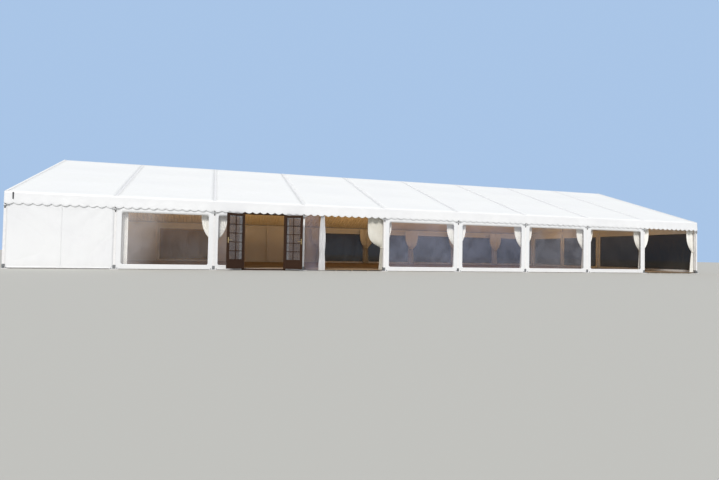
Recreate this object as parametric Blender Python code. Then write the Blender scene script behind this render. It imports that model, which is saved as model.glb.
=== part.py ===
"""Clear-span marquee, 12 m by 27 m, with French doors, window walls and two open bays.

Units are metres. +Z is up, +X runs along the front from the plain end bay to the open
end bay, and +Y points from the front to the rear. The origin is on the ground, at the
middle of the plan, under the boarded floor.
"""
import math

import bmesh
import bpy
from mathutils import Matrix, Vector

# Driving dimensions
BAY_LENGTH = 3.0
BAY_COUNT = 9
SPAN_WIDTH = 12.0
EAVE_HEIGHT = 2.30
RIDGE_HEIGHT = 4.30
SHEET = 0.010
GAP = 0.0003

LEG_WIDTH = 0.070
LEG_DEPTH = 0.120
RAFTER_DEPTH = 0.140
GABLE_POST_COUNT = 3
EAVE_BEAM_WIDTH = 0.070
EAVE_BEAM_HEIGHT = 0.115
GABLE_RAIL_HEIGHT = 0.115
GABLE_LAP = 0.060
RIDGE_BEAM_WIDTH = 0.080
RIDGE_BEAM_HEIGHT = 0.110
PURLIN_SIZE = 0.060
PURLIN_ROWS = 2
PLATE_THICKNESS = 0.012
PLATE_WIDTH = 0.240
PLATE_LIP = 0.030
PLATE_OUTER_LIP = 0.060
FLOOR_THICKNESS = 0.050

VALANCE_DROP = 0.380
SCALLOP_PITCH = 0.250
SCALLOP_DEPTH = 0.055
SCALLOP_STEPS = 4

WINDOW_SIDE_BORDER = 0.150
WINDOW_FOOT_BORDER = 0.150
WINDOW_HEAD_DROP = 0.500
WINDOW_CORNER = 0.060
WINDOW_CORNER_STEPS = 3
PANE_THICKNESS = 0.004
PANE_LAP = 0.030

SOLID_FRONT_BAY = 0
WINDOW_FRONT_BAYS = (1, 4, 5, 6, 7)
DOOR_BAY = 2
DRAWN_BAY = 3
WINDOW_REAR_BAYS = (1, 4, 5, 6, 7, 8)

DOOR_SHIFT = 0.150
DOOR_OPENING = 1.360
LEAF_HEADROOM = 0.020
LEAF_THICKNESS = 0.044
LEAF_STILE = 0.075
LEAF_BOTTOM_PANEL = 0.300
LEAF_GLASS = 0.006
LEAF_CLEARANCE = 0.006
LEAF_OPEN_DEG = 150.0
JAMB_WIDTH = 0.060
SIDE_WINDOW_BORDER = 0.090
HINGE_LENGTH = 0.100
HINGE_STANDOFF = 0.009
HINGE_STRIP_WIDTH = 0.030
HINGE_STRIP_THICKNESS = 0.002
HINGE_COUNT = 3
HANDLE_HEIGHT = 1.000
HANDLE_INSET = 0.038
HANDLE_PLATE_WIDTH = 0.032
HANDLE_PLATE_HEIGHT = 0.180
HANDLE_PLATE_THICKNESS = 0.006
LEVER_REACH = 0.042
LEVER_LENGTH = 0.110
LEVER_RADIUS = 0.009
SPINDLE_CLEARANCE = 0.001

DRAWN_CLEAR_WIDTH = 0.520
DRAWN_BUNCH_WIDTH = 0.240
DRAWN_BUNCH_DEPTH = 0.080

CURTAIN_THICKNESS = 0.090
CURTAIN_HEAD_DROP = 0.030
CURTAIN_HEADER = 0.060
CURTAIN_HALF_WIDTH = 0.420
OPEN_CURTAIN_HALF_WIDTH = 0.600
LOOSE_CURTAIN_WIDTH = 0.400
CURTAIN_TIE_HALF_WIDTH = 0.090
CURTAIN_TIE_HEIGHT = 0.980
OPEN_CURTAIN_TIE_HEIGHT = 0.870
CURTAIN_SWEEP = 4.0
OPEN_CURTAIN_SWEEP = 7.0
CURTAIN_FOOT_HALF_WIDTH = 0.150
CURTAIN_FLOOR_CLEARANCE = 0.005
LINING_THICKNESS = 0.010

# Derived sizes
LENGTH = BAY_LENGTH * BAY_COUNT
HALF_LENGTH = LENGTH / 2
HALF_SPAN = SPAN_WIDTH / 2
END_FACE = HALF_LENGTH + LEG_WIDTH / 2
SLOPE = (RIDGE_HEIGHT - EAVE_HEIGHT) / HALF_SPAN
SECANT = math.hypot(1.0, SLOPE)
SHEET_DROP = SHEET * SECANT
RAFTER_DROP = RAFTER_DEPTH * SECANT
WALL_FOOT = PLATE_THICKNESS + GAP
WALL_HEAD = EAVE_HEIGHT - SHEET_DROP - GAP
WINDOW_TOP = EAVE_HEIGHT - WINDOW_HEAD_DROP
WALL_BACKING = SHEET + PANE_THICKNESS + 2 * GAP
EAVE_BEAM_TOP = EAVE_HEIGHT - RAFTER_DROP - GAP
EAVE_BEAM_FOOT = EAVE_BEAM_TOP - EAVE_BEAM_HEIGHT
GABLE_SPLIT = EAVE_BEAM_TOP - GABLE_LAP
CURTAIN_HEAD = EAVE_BEAM_TOP - CURTAIN_HEAD_DROP
CURTAIN_FOOT = FLOOR_THICKNESS + CURTAIN_FLOOR_CLEARANCE
PLATE_DEPTH = LEG_DEPTH + PLATE_LIP
DOOR_CENTRE = -HALF_LENGTH + (DOOR_BAY + 0.5) * BAY_LENGTH + DOOR_SHIFT
LEAF_TOP = EAVE_HEIGHT - VALANCE_DROP - LEAF_HEADROOM
LEAF_FOOT = FLOOR_THICKNESS + LEAF_CLEARANCE
LEAF_WIDTH = DOOR_OPENING / 2 - 1.5 * LEAF_CLEARANCE
DOOR_HEAD_FOOT = LEAF_TOP + LEAF_CLEARANCE
DOOR_HEAD_TOP = DOOR_HEAD_FOOT + JAMB_WIDTH
SPINDLE_RADIUS = LEVER_RADIUS
FIXED_KNUCKLE_RADIUS = HINGE_STANDOFF - GAP - HINGE_STRIP_THICKNESS / 2
LEAF_KNUCKLE_RADIUS = HINGE_STANDOFF - GAP - HINGE_STRIP_THICKNESS - 2 * GAP

PARTS = None


def clear_scene():
    for thing in list(bpy.data.objects):
        bpy.data.objects.remove(thing, do_unlink=True)


def make_material(name, colour, roughness, metallic=0.0, alpha=1.0):
    material = bpy.data.materials.new(name)
    material.use_nodes = True
    shader = material.node_tree.nodes["Principled BSDF"]
    shader.inputs["Base Color"].default_value = (*colour, 1.0)
    shader.inputs["Roughness"].default_value = roughness
    shader.inputs["Metallic"].default_value = metallic
    shader.inputs["Alpha"].default_value = alpha
    return material


def frame_x(index):
    """Middle of the frame with this number, counted from the plain end."""
    return -HALF_LENGTH + index * BAY_LENGTH


def bay_range(bay):
    """Low and high x of the sheets in a bay, between its two frames."""
    inset = LEG_WIDTH / 2 + GAP
    return frame_x(bay) + inset, frame_x(bay + 1) - inset


def roof_z(y):
    """Height of the roof's outer face at this distance from the middle."""
    return RIDGE_HEIGHT - abs(y) * SLOPE


def gable_post_ys():
    """Middles of the gable posts across the span."""
    pitch = SPAN_WIDTH / (GABLE_POST_COUNT + 1)
    return [-HALF_SPAN + pitch * (step + 1) for step in range(GABLE_POST_COUNT)]


def gable_ranges():
    """Low and high y of each gable bay, between corner legs and posts."""
    edges = [-HALF_SPAN + LEG_DEPTH]
    for y in gable_post_ys():
        edges += [y - LEG_WIDTH / 2, y + LEG_WIDTH / 2]
    edges.append(HALF_SPAN - LEG_DEPTH)
    return [(edges[k], edges[k + 1]) for k in range(0, len(edges), 2)]


def finish(name, bm, material, location=(0.0, 0.0, 0.0), smooth=False):
    """Turn a bmesh in world space into the named sub-part with its origin at location."""
    if any(location):
        bmesh.ops.translate(bm, verts=bm.verts, vec=-Vector(location))
    bmesh.ops.recalc_face_normals(bm, faces=bm.faces)
    mesh = bpy.data.meshes.new(name)
    bm.to_mesh(mesh)
    bm.free()
    if smooth:
        mesh.shade_smooth()
        mesh.set_sharp_from_angle(angle=math.radians(35))
    mesh.materials.append(material)
    thing = bpy.data.objects.new(name, mesh)
    thing.location = location
    PARTS.objects.link(thing)
    return thing


def add_box(bm, low, high):
    """One box between two corners."""
    low, high = Vector(low), Vector(high)
    size = high - low
    place = Matrix.Translation((low + high) / 2) @ Matrix.Diagonal((*size, 1.0))
    bmesh.ops.create_cube(bm, size=1.0, matrix=place)


def add_cylinder(bm, start, end, radius, segments=16):
    """One round bar between two points."""
    start, end = Vector(start), Vector(end)
    run = end - start
    turn = Vector((0, 0, 1)).rotation_difference(run.normalized()).to_matrix().to_4x4()
    place = Matrix.Translation((start + end) / 2) @ turn
    bmesh.ops.create_cone(bm, cap_ends=True, segments=segments, radius1=radius, radius2=radius,
                          depth=run.length, matrix=place)


def add_plate(bm, outlines, thickness, place):
    """A flat plate with straight-sided outlines; an outline inside another is a hole."""
    curve = bpy.data.curves.new("outline", "CURVE")
    curve.dimensions = "2D"
    curve.fill_mode = "BOTH"
    curve.extrude = thickness / 2
    for outline in outlines:
        spline = curve.splines.new("POLY")
        spline.points.add(len(outline) - 1)
        for point, (u, v) in zip(spline.points, outline):
            point.co = (u, v, 0.0, 1.0)
        spline.use_cyclic_u = True
    shape = bpy.data.objects.new("outline", curve)
    PARTS.objects.link(shape)
    graph = bpy.context.evaluated_depsgraph_get()
    mesh = bpy.data.meshes.new_from_object(shape.evaluated_get(graph))
    piece = bmesh.new()
    piece.from_mesh(mesh)
    bmesh.ops.remove_doubles(piece, verts=piece.verts, dist=0.00005)
    bmesh.ops.transform(piece, matrix=place, verts=piece.verts)
    piece.to_mesh(mesh)
    piece.free()
    bm.from_mesh(mesh)
    bpy.data.objects.remove(shape, do_unlink=True)
    bpy.data.curves.remove(curve)
    bpy.data.meshes.remove(mesh)


def across(x_low, x_high):
    """Place and thickness of a plate whose outline is (y, z), between two x."""
    turn = Matrix(((0, 0, 1, 0), (1, 0, 0, 0), (0, 1, 0, 0), (0, 0, 0, 1)))
    return x_high - x_low, Matrix.Translation(((x_low + x_high) / 2, 0, 0)) @ turn


def along(y_low, y_high):
    """Place and thickness of a plate whose outline is (x, z), between two y."""
    turn = Matrix(((1, 0, 0, 0), (0, 0, -1, 0), (0, 1, 0, 0), (0, 0, 0, 1)))
    return y_high - y_low, Matrix.Translation((0, (y_low + y_high) / 2, 0)) @ turn


def add_across(bm, outlines, x_low, x_high):
    thickness, place = across(x_low, x_high)
    add_plate(bm, outlines, thickness, place)


def add_along(bm, outlines, y_low, y_high):
    thickness, place = along(y_low, y_high)
    add_plate(bm, outlines, thickness, place)


def rectangle(low_u, high_u, low_v, high_v):
    return [(low_u, low_v), (high_u, low_v), (high_u, high_v), (low_u, high_v)]


def rounded_rectangle(low_u, high_u, low_v, high_v, radius):
    """Corners as arcs with a few steps each."""
    centres = ((high_u - radius, low_v + radius, -90), (high_u - radius, high_v - radius, 0),
               (low_u + radius, high_v - radius, 90), (low_u + radius, low_v + radius, 180))
    outline = []
    for centre_u, centre_v, first in centres:
        for step in range(WINDOW_CORNER_STEPS + 1):
            angle = math.radians(first + 90 * step / WINDOW_CORNER_STEPS)
            outline.append((centre_u + radius * math.cos(angle), centre_v + radius * math.sin(angle)))
    return outline


def side_sign(side):
    return -1 if side == "front" else 1


def unite(name, shapes, material, location=(0.0, 0.0, 0.0), smooth=False):
    """Join overlapping shapes, each a bmesh in world space, into one closed sub-part."""
    others = bpy.data.collections.new("shapes_to_join")
    bpy.context.scene.collection.children.link(others)
    pieces = []
    for shape in shapes:
        bmesh.ops.recalc_face_normals(shape, faces=shape.faces)
        mesh = bpy.data.meshes.new("shape_to_join")
        shape.to_mesh(mesh)
        shape.free()
        piece = bpy.data.objects.new("shape_to_join", mesh)
        (others if pieces else PARTS).objects.link(piece)
        pieces.append(piece)
    join = pieces[0].modifiers.new("join", "BOOLEAN")
    join.operation = "UNION"
    join.solver = "EXACT"
    join.operand_type = "COLLECTION"
    join.collection = others
    graph = bpy.context.evaluated_depsgraph_get()
    mesh = bpy.data.meshes.new_from_object(pieces[0].evaluated_get(graph))
    for piece in pieces:
        bpy.data.objects.remove(piece, do_unlink=True)
    bpy.data.collections.remove(others)
    joined = bmesh.new()
    joined.from_mesh(mesh)
    bpy.data.meshes.remove(mesh)
    return finish(name, joined, material, location, smooth)


def box_shape(low, high):
    bm = bmesh.new()
    add_box(bm, low, high)
    return bm


def across_shape(outline, x_low, x_high):
    bm = bmesh.new()
    add_across(bm, [outline], x_low, x_high)
    return bm


def bar_shape(start, end, radius, segments=12):
    bm = bmesh.new()
    add_cylinder(bm, start, end, radius, segments)
    return bm


def leg_outer(side):
    """Distance of the legs' outer faces from the middle: the rear sheet runs outside them."""
    return HALF_SPAN if side == "front" else HALF_SPAN - WALL_BACKING


def build_floor(material):
    bm = bmesh.new()
    x = END_FACE - PLATE_DEPTH - GAP
    y = HALF_SPAN - PLATE_DEPTH - GAP
    add_box(bm, (-x, -y, 0.0), (x, y, FLOOR_THICKNESS))
    finish("floor", bm, material)


def build_wall_frame(side, material):
    """Legs on base plates, joined by the eave beam; leg tops follow the rafters' slope."""
    sign = side_sign(side)
    outer, inner = sign * leg_outer(side), sign * (HALF_SPAN - LEG_DEPTH)
    foot = PLATE_THICKNESS / 2
    outline = [(outer, foot), (inner, foot), (inner, roof_z(inner) - RAFTER_DROP - GAP),
               (outer, roof_z(outer) - RAFTER_DROP - GAP)]
    shapes = []
    beam_start = HALF_SPAN - WALL_BACKING
    y = sorted((sign * beam_start, sign * (beam_start - EAVE_BEAM_WIDTH)))
    shapes.append(box_shape((-END_FACE, y[0], EAVE_BEAM_FOOT), (END_FACE, y[1], EAVE_BEAM_TOP)))
    for index in range(BAY_COUNT + 1):
        x = frame_x(index)
        shapes.append(across_shape(outline, x - LEG_WIDTH / 2, x + LEG_WIDTH / 2))
        low = max(x - PLATE_WIDTH / 2, -END_FACE)
        high = min(x + PLATE_WIDTH / 2, END_FACE)
        plate_y = sorted((sign * (HALF_SPAN + PLATE_OUTER_LIP), sign * (HALF_SPAN - PLATE_DEPTH)))
        shapes.append(box_shape((low, plate_y[0], 0.0), (high, plate_y[1], PLATE_THICKNESS)))
    unite(side + "_wall_frame", shapes, material)


def build_roof_frame(side, material):
    """Rafters flush with the roof sheets, joined by purlins and half of the ridge beam."""
    sign = side_sign(side)
    outer, inner = sign * HALF_SPAN, sign * GAP / 2
    rafter = [(outer, roof_z(outer) - RAFTER_DROP), (outer, roof_z(outer)),
              (inner, roof_z(inner)), (inner, roof_z(inner) - RAFTER_DROP)]
    under = -SHEET_DROP - GAP
    half = sign * RIDGE_BEAM_WIDTH / 2
    foot = roof_z(0) - RIDGE_BEAM_HEIGHT
    ridge = [(inner, foot), (half, foot), (half, roof_z(half) + under), (inner, roof_z(inner) + under)]
    shapes = [across_shape(ridge, -END_FACE, END_FACE)]
    for row in range(PURLIN_ROWS):
        y = sign * HALF_SPAN * (row + 1) / (PURLIN_ROWS + 1)
        top = Vector((y, roof_z(y) + under))
        down_slope = Vector((sign / SECANT, -SLOPE / SECANT)) * PURLIN_SIZE / 2
        inward = Vector((-sign * SLOPE / SECANT, -1 / SECANT)) * PURLIN_SIZE
        corners = (top - down_slope, top + down_slope, top + down_slope + inward,
                   top - down_slope + inward)
        shapes.append(across_shape([tuple(corner) for corner in corners], -END_FACE, END_FACE))
    for index in range(BAY_COUNT + 1):
        x = frame_x(index)
        shapes.append(across_shape(rafter, x - LEG_WIDTH / 2, x + LEG_WIDTH / 2))
    unite(side + "_roof_frame", shapes, material)


def build_gable_frame(end, material):
    """Gable posts on base plates, joined by the gable rail; the sheets run outside them."""
    sign = -1 if end == "left" else 1
    outer = END_FACE - WALL_BACKING
    x = sorted((sign * outer, sign * (outer - LEG_WIDTH)))
    half = LEG_WIDTH / 2
    reach = HALF_SPAN - LEG_DEPTH - GAP
    top = -RAFTER_DROP - LINING_THICKNESS * SECANT - 2 * GAP
    rail_top = roof_z(reach) + top
    shapes = [box_shape((x[0], -reach, rail_top - GABLE_RAIL_HEIGHT), (x[1], reach, rail_top))]
    plate_x = sorted((sign * outer, sign * (END_FACE - PLATE_DEPTH)))
    for y in gable_post_ys():
        outline = [(y - half, PLATE_THICKNESS / 2), (y + half, PLATE_THICKNESS / 2),
                   (y + half, roof_z(y + half) + top)]
        if abs(y) < half:
            outline.append((0.0, roof_z(0.0) + top))
        outline.append((y - half, roof_z(y - half) + top))
        shapes.append(across_shape(outline, *x))
        shapes.append(box_shape((plate_x[0], y - PLATE_WIDTH / 2, 0.0),
                                (plate_x[1], y + PLATE_WIDTH / 2, PLATE_THICKNESS)))
    unite(end + "_gable_frame", shapes, material)


def build_gable_triangle(end, material):
    """The white sheet from the gable wall up to the end rafters."""
    sign = -1 if end == "left" else 1
    x = sorted((sign * END_FACE, sign * (END_FACE - SHEET)))
    reach = HALF_SPAN - LEG_DEPTH - GAP
    top = -RAFTER_DROP - GAP
    outline = [(-reach, GABLE_SPLIT + GAP), (reach, GABLE_SPLIT + GAP), (reach, roof_z(reach) + top),
               (0.0, roof_z(0.0) + top), (-reach, roof_z(reach) + top)]
    bm = bmesh.new()
    add_across(bm, [outline], *x)
    finish(end + "_gable_triangle", bm, material)


def build_roof_sheets(material):
    """One sheet to a bay, over the ridge from eave to eave, between the rafters."""
    under = -SHEET_DROP
    outline = [(-HALF_SPAN, roof_z(HALF_SPAN) + under), (-HALF_SPAN, roof_z(HALF_SPAN)),
               (0.0, roof_z(0.0)), (HALF_SPAN, roof_z(HALF_SPAN)),
               (HALF_SPAN, roof_z(HALF_SPAN) + under), (0.0, roof_z(0.0) + under)]
    for bay in range(BAY_COUNT):
        bm = bmesh.new()
        add_across(bm, [outline], *bay_range(bay))
        finish("roof_sheet_%d" % (bay + 1), bm, material)


def build_lining(side, material):
    """The lining is one drape along each slope, under the rafters."""
    sign = side_sign(side)
    outer, inner = sign * (HALF_SPAN - LEG_DEPTH - GAP), sign * GAP / 2
    top = -RAFTER_DROP - GAP
    foot = top - LINING_THICKNESS * SECANT
    outline = [(outer, roof_z(outer) + foot), (outer, roof_z(outer) + top),
               (inner, roof_z(inner) + top), (inner, roof_z(inner) + foot)]
    bm = bmesh.new()
    half = END_FACE - SHEET - GAP
    add_across(bm, [outline], -half, half)
    finish(side + "_lining", bm, material)


def scalloped_outline(low, high, top, drop):
    """Straight top edge; the lower edge is a row of round scallops."""
    count = round((high - low) / SCALLOP_PITCH)
    pitch = (high - low) / count
    outline = [(low, top)]
    for scallop in range(count):
        for step in range(SCALLOP_STEPS):
            share = step / SCALLOP_STEPS
            sag = SCALLOP_DEPTH * math.sin(math.pi * share)
            outline.append((low + pitch * (scallop + share), top - drop + SCALLOP_DEPTH - sag))
    outline += [(high, top - drop + SCALLOP_DEPTH), (high, top)]
    return outline


def build_valance(side, material):
    if side == "front":
        y = (-HALF_SPAN - GAP - SHEET, -HALF_SPAN - GAP)
    else:
        y = (HALF_SPAN + GAP, HALF_SPAN + GAP + SHEET)
    bm = bmesh.new()
    outline = scalloped_outline(-END_FACE, END_FACE, EAVE_HEIGHT, VALANCE_DROP)
    add_along(bm, [outline], *y)
    finish(side + "_valance", bm, material)


def window_opening(low, high, border=WINDOW_SIDE_BORDER):
    """Limits of the clear part of a window wall."""
    return low + border, high - border, WALL_FOOT + WINDOW_FOOT_BORDER, WINDOW_TOP


def window_hole(low, high, border=WINDOW_SIDE_BORDER):
    return rounded_rectangle(*window_opening(low, high, border), WINDOW_CORNER)


def pane_outline(low, high, border=WINDOW_SIDE_BORDER):
    hole = window_opening(low, high, border)
    return rounded_rectangle(hole[0] + GAP, hole[1] - GAP, hole[2] + GAP, hole[3] - GAP, WINDOW_CORNER)


def pane_range(low, high):
    """A pane lies in the middle of the wall's thickness."""
    middle = (low + high) / 2
    return middle - PANE_THICKNESS / 2, middle + PANE_THICKNESS / 2


def build_window_wall(name, low, high, border, wall_material, pane_material):
    """A white sheet with a rounded clear window, flush with the front legs."""
    wall, pane = bmesh.new(), bmesh.new()
    outlines = [rectangle(low, high, WALL_FOOT, WALL_HEAD), window_hole(low, high, border)]
    add_along(wall, outlines, -HALF_SPAN, -HALF_SPAN + SHEET)
    add_along(pane, [pane_outline(low, high, border)], *pane_range(-HALF_SPAN, -HALF_SPAN + SHEET))
    finish(name + "_window_wall", wall, wall_material)
    finish(name + "_clear_pane", pane, pane_material)


def build_solid_front_wall(material):
    low, high = bay_range(SOLID_FRONT_BAY)
    bm = bmesh.new()
    add_box(bm, (low, -HALF_SPAN, WALL_FOOT), (high, -HALF_SPAN + SHEET, WALL_HEAD))
    finish("front_solid_wall", bm, material)


def build_rear_wall(wall_material, pane_material):
    """One sheet outside the rear legs, its top edge stepped round the rafters' ends."""
    rafter_foot = EAVE_HEIGHT - RAFTER_DROP - GAP
    outline = [(-END_FACE, WALL_FOOT), (END_FACE, WALL_FOOT), (END_FACE, rafter_foot)]
    for bay in reversed(range(BAY_COUNT)):
        low, high = bay_range(bay)
        outline += [(high, rafter_foot), (high, WALL_HEAD), (low, WALL_HEAD), (low, rafter_foot)]
    outline.append((-END_FACE, rafter_foot))
    holes = [window_hole(*bay_range(bay)) for bay in WINDOW_REAR_BAYS]
    wall = bmesh.new()
    add_along(wall, [outline] + holes, HALF_SPAN - SHEET, HALF_SPAN)
    finish("rear_wall", wall, wall_material)

    first = window_opening(*bay_range(WINDOW_REAR_BAYS[0]))
    last = window_opening(*bay_range(WINDOW_REAR_BAYS[-1]))
    inner = HALF_SPAN - SHEET - GAP
    pane = box_shape((first[0] - PANE_LAP, inner - PANE_THICKNESS, first[2] - PANE_LAP),
                     (last[1] + PANE_LAP, inner, last[3] + PANE_LAP))
    finish("rear_clear_panes", pane, pane_material)


def build_left_gable_wall(material):
    reach = HALF_SPAN - LEG_DEPTH - GAP
    wall = box_shape((-END_FACE, -reach, WALL_FOOT), (-END_FACE + SHEET, reach, GABLE_SPLIT))
    finish("left_gable_wall", wall, material)


def build_right_gable_wall(wall_material, pane_material):
    reach = HALF_SPAN - LEG_DEPTH - GAP
    holes = [window_hole(low, high) for low, high in gable_ranges()]
    wall = bmesh.new()
    add_across(wall, [rectangle(-reach, reach, WALL_FOOT, GABLE_SPLIT)] + holes,
               END_FACE - SHEET, END_FACE)
    finish("right_gable_window_wall", wall, wall_material)
    hole = window_opening(-reach, reach)
    inner = END_FACE - SHEET - GAP
    pane = box_shape((inner - PANE_THICKNESS, hole[0] - PANE_LAP, hole[2] - PANE_LAP),
                     (inner, hole[1] + PANE_LAP, hole[3] + PANE_LAP))
    finish("right_gable_clear_panes", pane, pane_material)


def door_edges():
    """Clear edges of the doorway."""
    return DOOR_CENTRE - DOOR_OPENING / 2, DOOR_CENTRE + DOOR_OPENING / 2


def build_door_frame(material):
    """Jambs, head and threshold in one piece."""
    low, high = door_edges()
    outer = rectangle(low - JAMB_WIDTH, high + JAMB_WIDTH, 0.0, DOOR_HEAD_TOP)
    doorway = rectangle(low, high, FLOOR_THICKNESS, DOOR_HEAD_FOOT)
    bm = bmesh.new()
    add_along(bm, [outer, doorway], -HALF_SPAN, -HALF_SPAN + PLATE_DEPTH - 2 * GAP)
    finish("door_frame", bm, material)


def build_door_surround(wall_material, pane_material):
    """Window walls beside the doors and a white sheet over them."""
    first, last = bay_range(DOOR_BAY)
    low, high = door_edges()
    left_end = low - JAMB_WIDTH - GAP
    right_end = high + JAMB_WIDTH + GAP
    build_window_wall("door_left", first, left_end, SIDE_WINDOW_BORDER, wall_material, pane_material)
    build_window_wall("door_right", right_end, last, SIDE_WINDOW_BORDER, wall_material, pane_material)
    head = box_shape((left_end + GAP, -HALF_SPAN, DOOR_HEAD_TOP + GAP),
                     (right_end - GAP, -HALF_SPAN + SHEET, WALL_HEAD))
    finish("door_head_wall", head, wall_material)


def hinge_axis(hand):
    """Plan position of a leaf's hinge axis, just outside the frame's face."""
    low, high = door_edges()
    return (low if hand == "left" else high), -HALF_SPAN - HINGE_STANDOFF


def hinge_heights():
    """Middles of the hinges, spread over the leaf."""
    low, high = LEAF_FOOT + 2 * HINGE_LENGTH, LEAF_TOP - 2 * HINGE_LENGTH
    return [low + (high - low) * k / (HINGE_COUNT - 1) for k in range(HINGE_COUNT)]


def build_hinges(hand, material):
    """Lower knuckles on a strip that is fixed to the face of the jamb."""
    sign = 1 if hand == "left" else -1
    x, y = hinge_axis(hand)
    face = -HALF_SPAN - GAP
    strip = sorted((x, x - sign * HINGE_STRIP_WIDTH))
    shapes = [box_shape((strip[0], face - HINGE_STRIP_THICKNESS, LEAF_FOOT + HINGE_LENGTH),
                        (strip[1], face, LEAF_TOP - HINGE_LENGTH))]
    for z in hinge_heights():
        shapes.append(bar_shape((x, y, z - HINGE_LENGTH / 2), (x, y, z), FIXED_KNUCKLE_RADIUS))
    unite(hand + "_door_hinges", shapes, material, smooth=True)


def build_leaf(hand, wood, glass, metal):
    """A leaf is modelled shut, then turned to its open place about its hinge axis."""
    sign = 1 if hand == "left" else -1
    axis_x, axis_y = hinge_axis(hand)
    near, far = LEAF_CLEARANCE, LEAF_CLEARANCE + LEAF_WIDTH
    front = HINGE_STANDOFF
    back = front + LEAF_THICKNESS
    middle = (front + back) / 2

    def mirrored(low, high):
        return tuple(sorted((sign * low, sign * high)))

    pivot = bpy.data.objects.new(hand + "_pivot", None)
    pivot.location = (axis_x, axis_y, 0.0)
    pivot.rotation_euler = (0.0, 0.0, -sign * math.radians(LEAF_OPEN_DEG))
    PARTS.objects.link(pivot)

    spindle_x = sign * (far - HANDLE_INSET)
    hole = (*mirrored(near + LEAF_STILE, far - LEAF_STILE), LEAF_FOOT + LEAF_BOTTOM_PANEL,
            LEAF_TOP - LEAF_STILE)
    spindle_hole = rounded_rectangle(
        spindle_x - SPINDLE_RADIUS - SPINDLE_CLEARANCE, spindle_x + SPINDLE_RADIUS + SPINDLE_CLEARANCE,
        HANDLE_HEIGHT - SPINDLE_RADIUS - SPINDLE_CLEARANCE,
        HANDLE_HEIGHT + SPINDLE_RADIUS + SPINDLE_CLEARANCE, SPINDLE_RADIUS / 2)
    frame = bmesh.new()
    outer = rectangle(*mirrored(near, far), LEAF_FOOT, LEAF_TOP)
    add_along(frame, [outer, rectangle(*hole), spindle_hole], front, back)
    shapes = [frame]
    for z in hinge_heights():
        top = z + HINGE_LENGTH / 2
        shapes.append(bar_shape((0.0, 0.0, z + GAP), (0.0, 0.0, top), LEAF_KNUCKLE_RADIUS))
        web = mirrored(LEAF_KNUCKLE_RADIUS / 3, 2 * near)
        shapes.append(box_shape((web[0], 0.0, z + GAP), (web[1], 2 * front, top)))
    leaf = unite(hand + "_door_leaf", shapes, wood)

    pane = box_shape((hole[0] + GAP, middle - LEAF_GLASS / 2, hole[2] + GAP),
                     (hole[1] - GAP, middle + LEAF_GLASS / 2, hole[3] - GAP))
    glazing = finish(hand + "_door_glass", pane, glass)

    ends = (front - LEVER_REACH, back + LEVER_REACH)
    shapes = [bar_shape((spindle_x, ends[0], HANDLE_HEIGHT), (spindle_x, ends[1], HANDLE_HEIGHT),
                        SPINDLE_RADIUS)]
    for face, out, end in ((front, -1, ends[0]), (back, 1, ends[1])):
        plate = sorted((face + out * GAP, face + out * (GAP + HANDLE_PLATE_THICKNESS)))
        half = HANDLE_PLATE_WIDTH / 2
        shapes.append(box_shape((spindle_x - half, plate[0], HANDLE_HEIGHT - HANDLE_PLATE_HEIGHT / 2),
                                (spindle_x + half, plate[1], HANDLE_HEIGHT + HANDLE_PLATE_HEIGHT / 2)))
        shapes.append(bar_shape((spindle_x + sign * LEVER_RADIUS, end, HANDLE_HEIGHT),
                                (spindle_x - sign * LEVER_LENGTH, end, HANDLE_HEIGHT), LEVER_RADIUS))
    handle = unite(hand + "_door_handle", shapes, metal)

    for piece in (leaf, glazing, handle):
        piece.parent = pivot


def build_drawn_wall(wall_material, pane_material):
    """The open bay's own window wall, drawn aside and bunched at its free edge."""
    low = bay_range(DRAWN_BAY)[0]
    edge = low + DRAWN_CLEAR_WIDTH
    clear = box_shape((low, -HALF_SPAN, WALL_FOOT), (edge, -HALF_SPAN + SHEET, EAVE_BEAM_FOOT))
    finish("drawn_clear_wall", clear, pane_material)
    bunch = box_shape((edge + GAP, -HALF_SPAN, WALL_FOOT),
                      (edge + DRAWN_BUNCH_WIDTH, -HALF_SPAN + DRAWN_BUNCH_DEPTH, EAVE_BEAM_FOOT - GAP))
    finish("drawn_wall_bunch", bunch, wall_material)


def straight_side(width):
    """Half outline of a curtain that hangs plumb, from its head to its foot."""
    return [(width, CURTAIN_HEAD - CURTAIN_HEADER), (width, CURTAIN_FOOT)]


def tied_side(width, tie_height, sweep):
    """Half outline of a tied curtain: the higher the sweep, the later its edge turns to the tie."""
    head = CURTAIN_HEAD - CURTAIN_HEADER
    waist = width - CURTAIN_TIE_HALF_WIDTH
    points = []
    for share in (0.0, 0.35, 0.60, 0.80, 0.92, 1.0):
        points.append((width - waist * share ** sweep, head - (head - tie_height) * share))
    points.append((CURTAIN_FOOT_HALF_WIDTH, CURTAIN_FOOT))
    return points


def curtain_row_outline(legs):
    """Curtains hanging from one header; legs maps a frame number to the outline on each side."""
    gable_face = END_FACE - WALL_BACKING - LEG_WIDTH - GAP
    lower = []
    for index, (left, right) in sorted(legs.items()):
        x = frame_x(index)
        lower += [(x - u, v) for u, v in left]
        lower += [(min(x + u, gable_face), v) for u, v in reversed(right)]
    return lower + [(lower[-1][0], CURTAIN_HEAD), (lower[0][0], CURTAIN_HEAD)]


def build_curtains(name, legs, y_low, material):
    bm = bmesh.new()
    add_along(bm, [curtain_row_outline(legs)], y_low, y_low + CURTAIN_THICKNESS)
    finish(name, bm, material)


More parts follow.
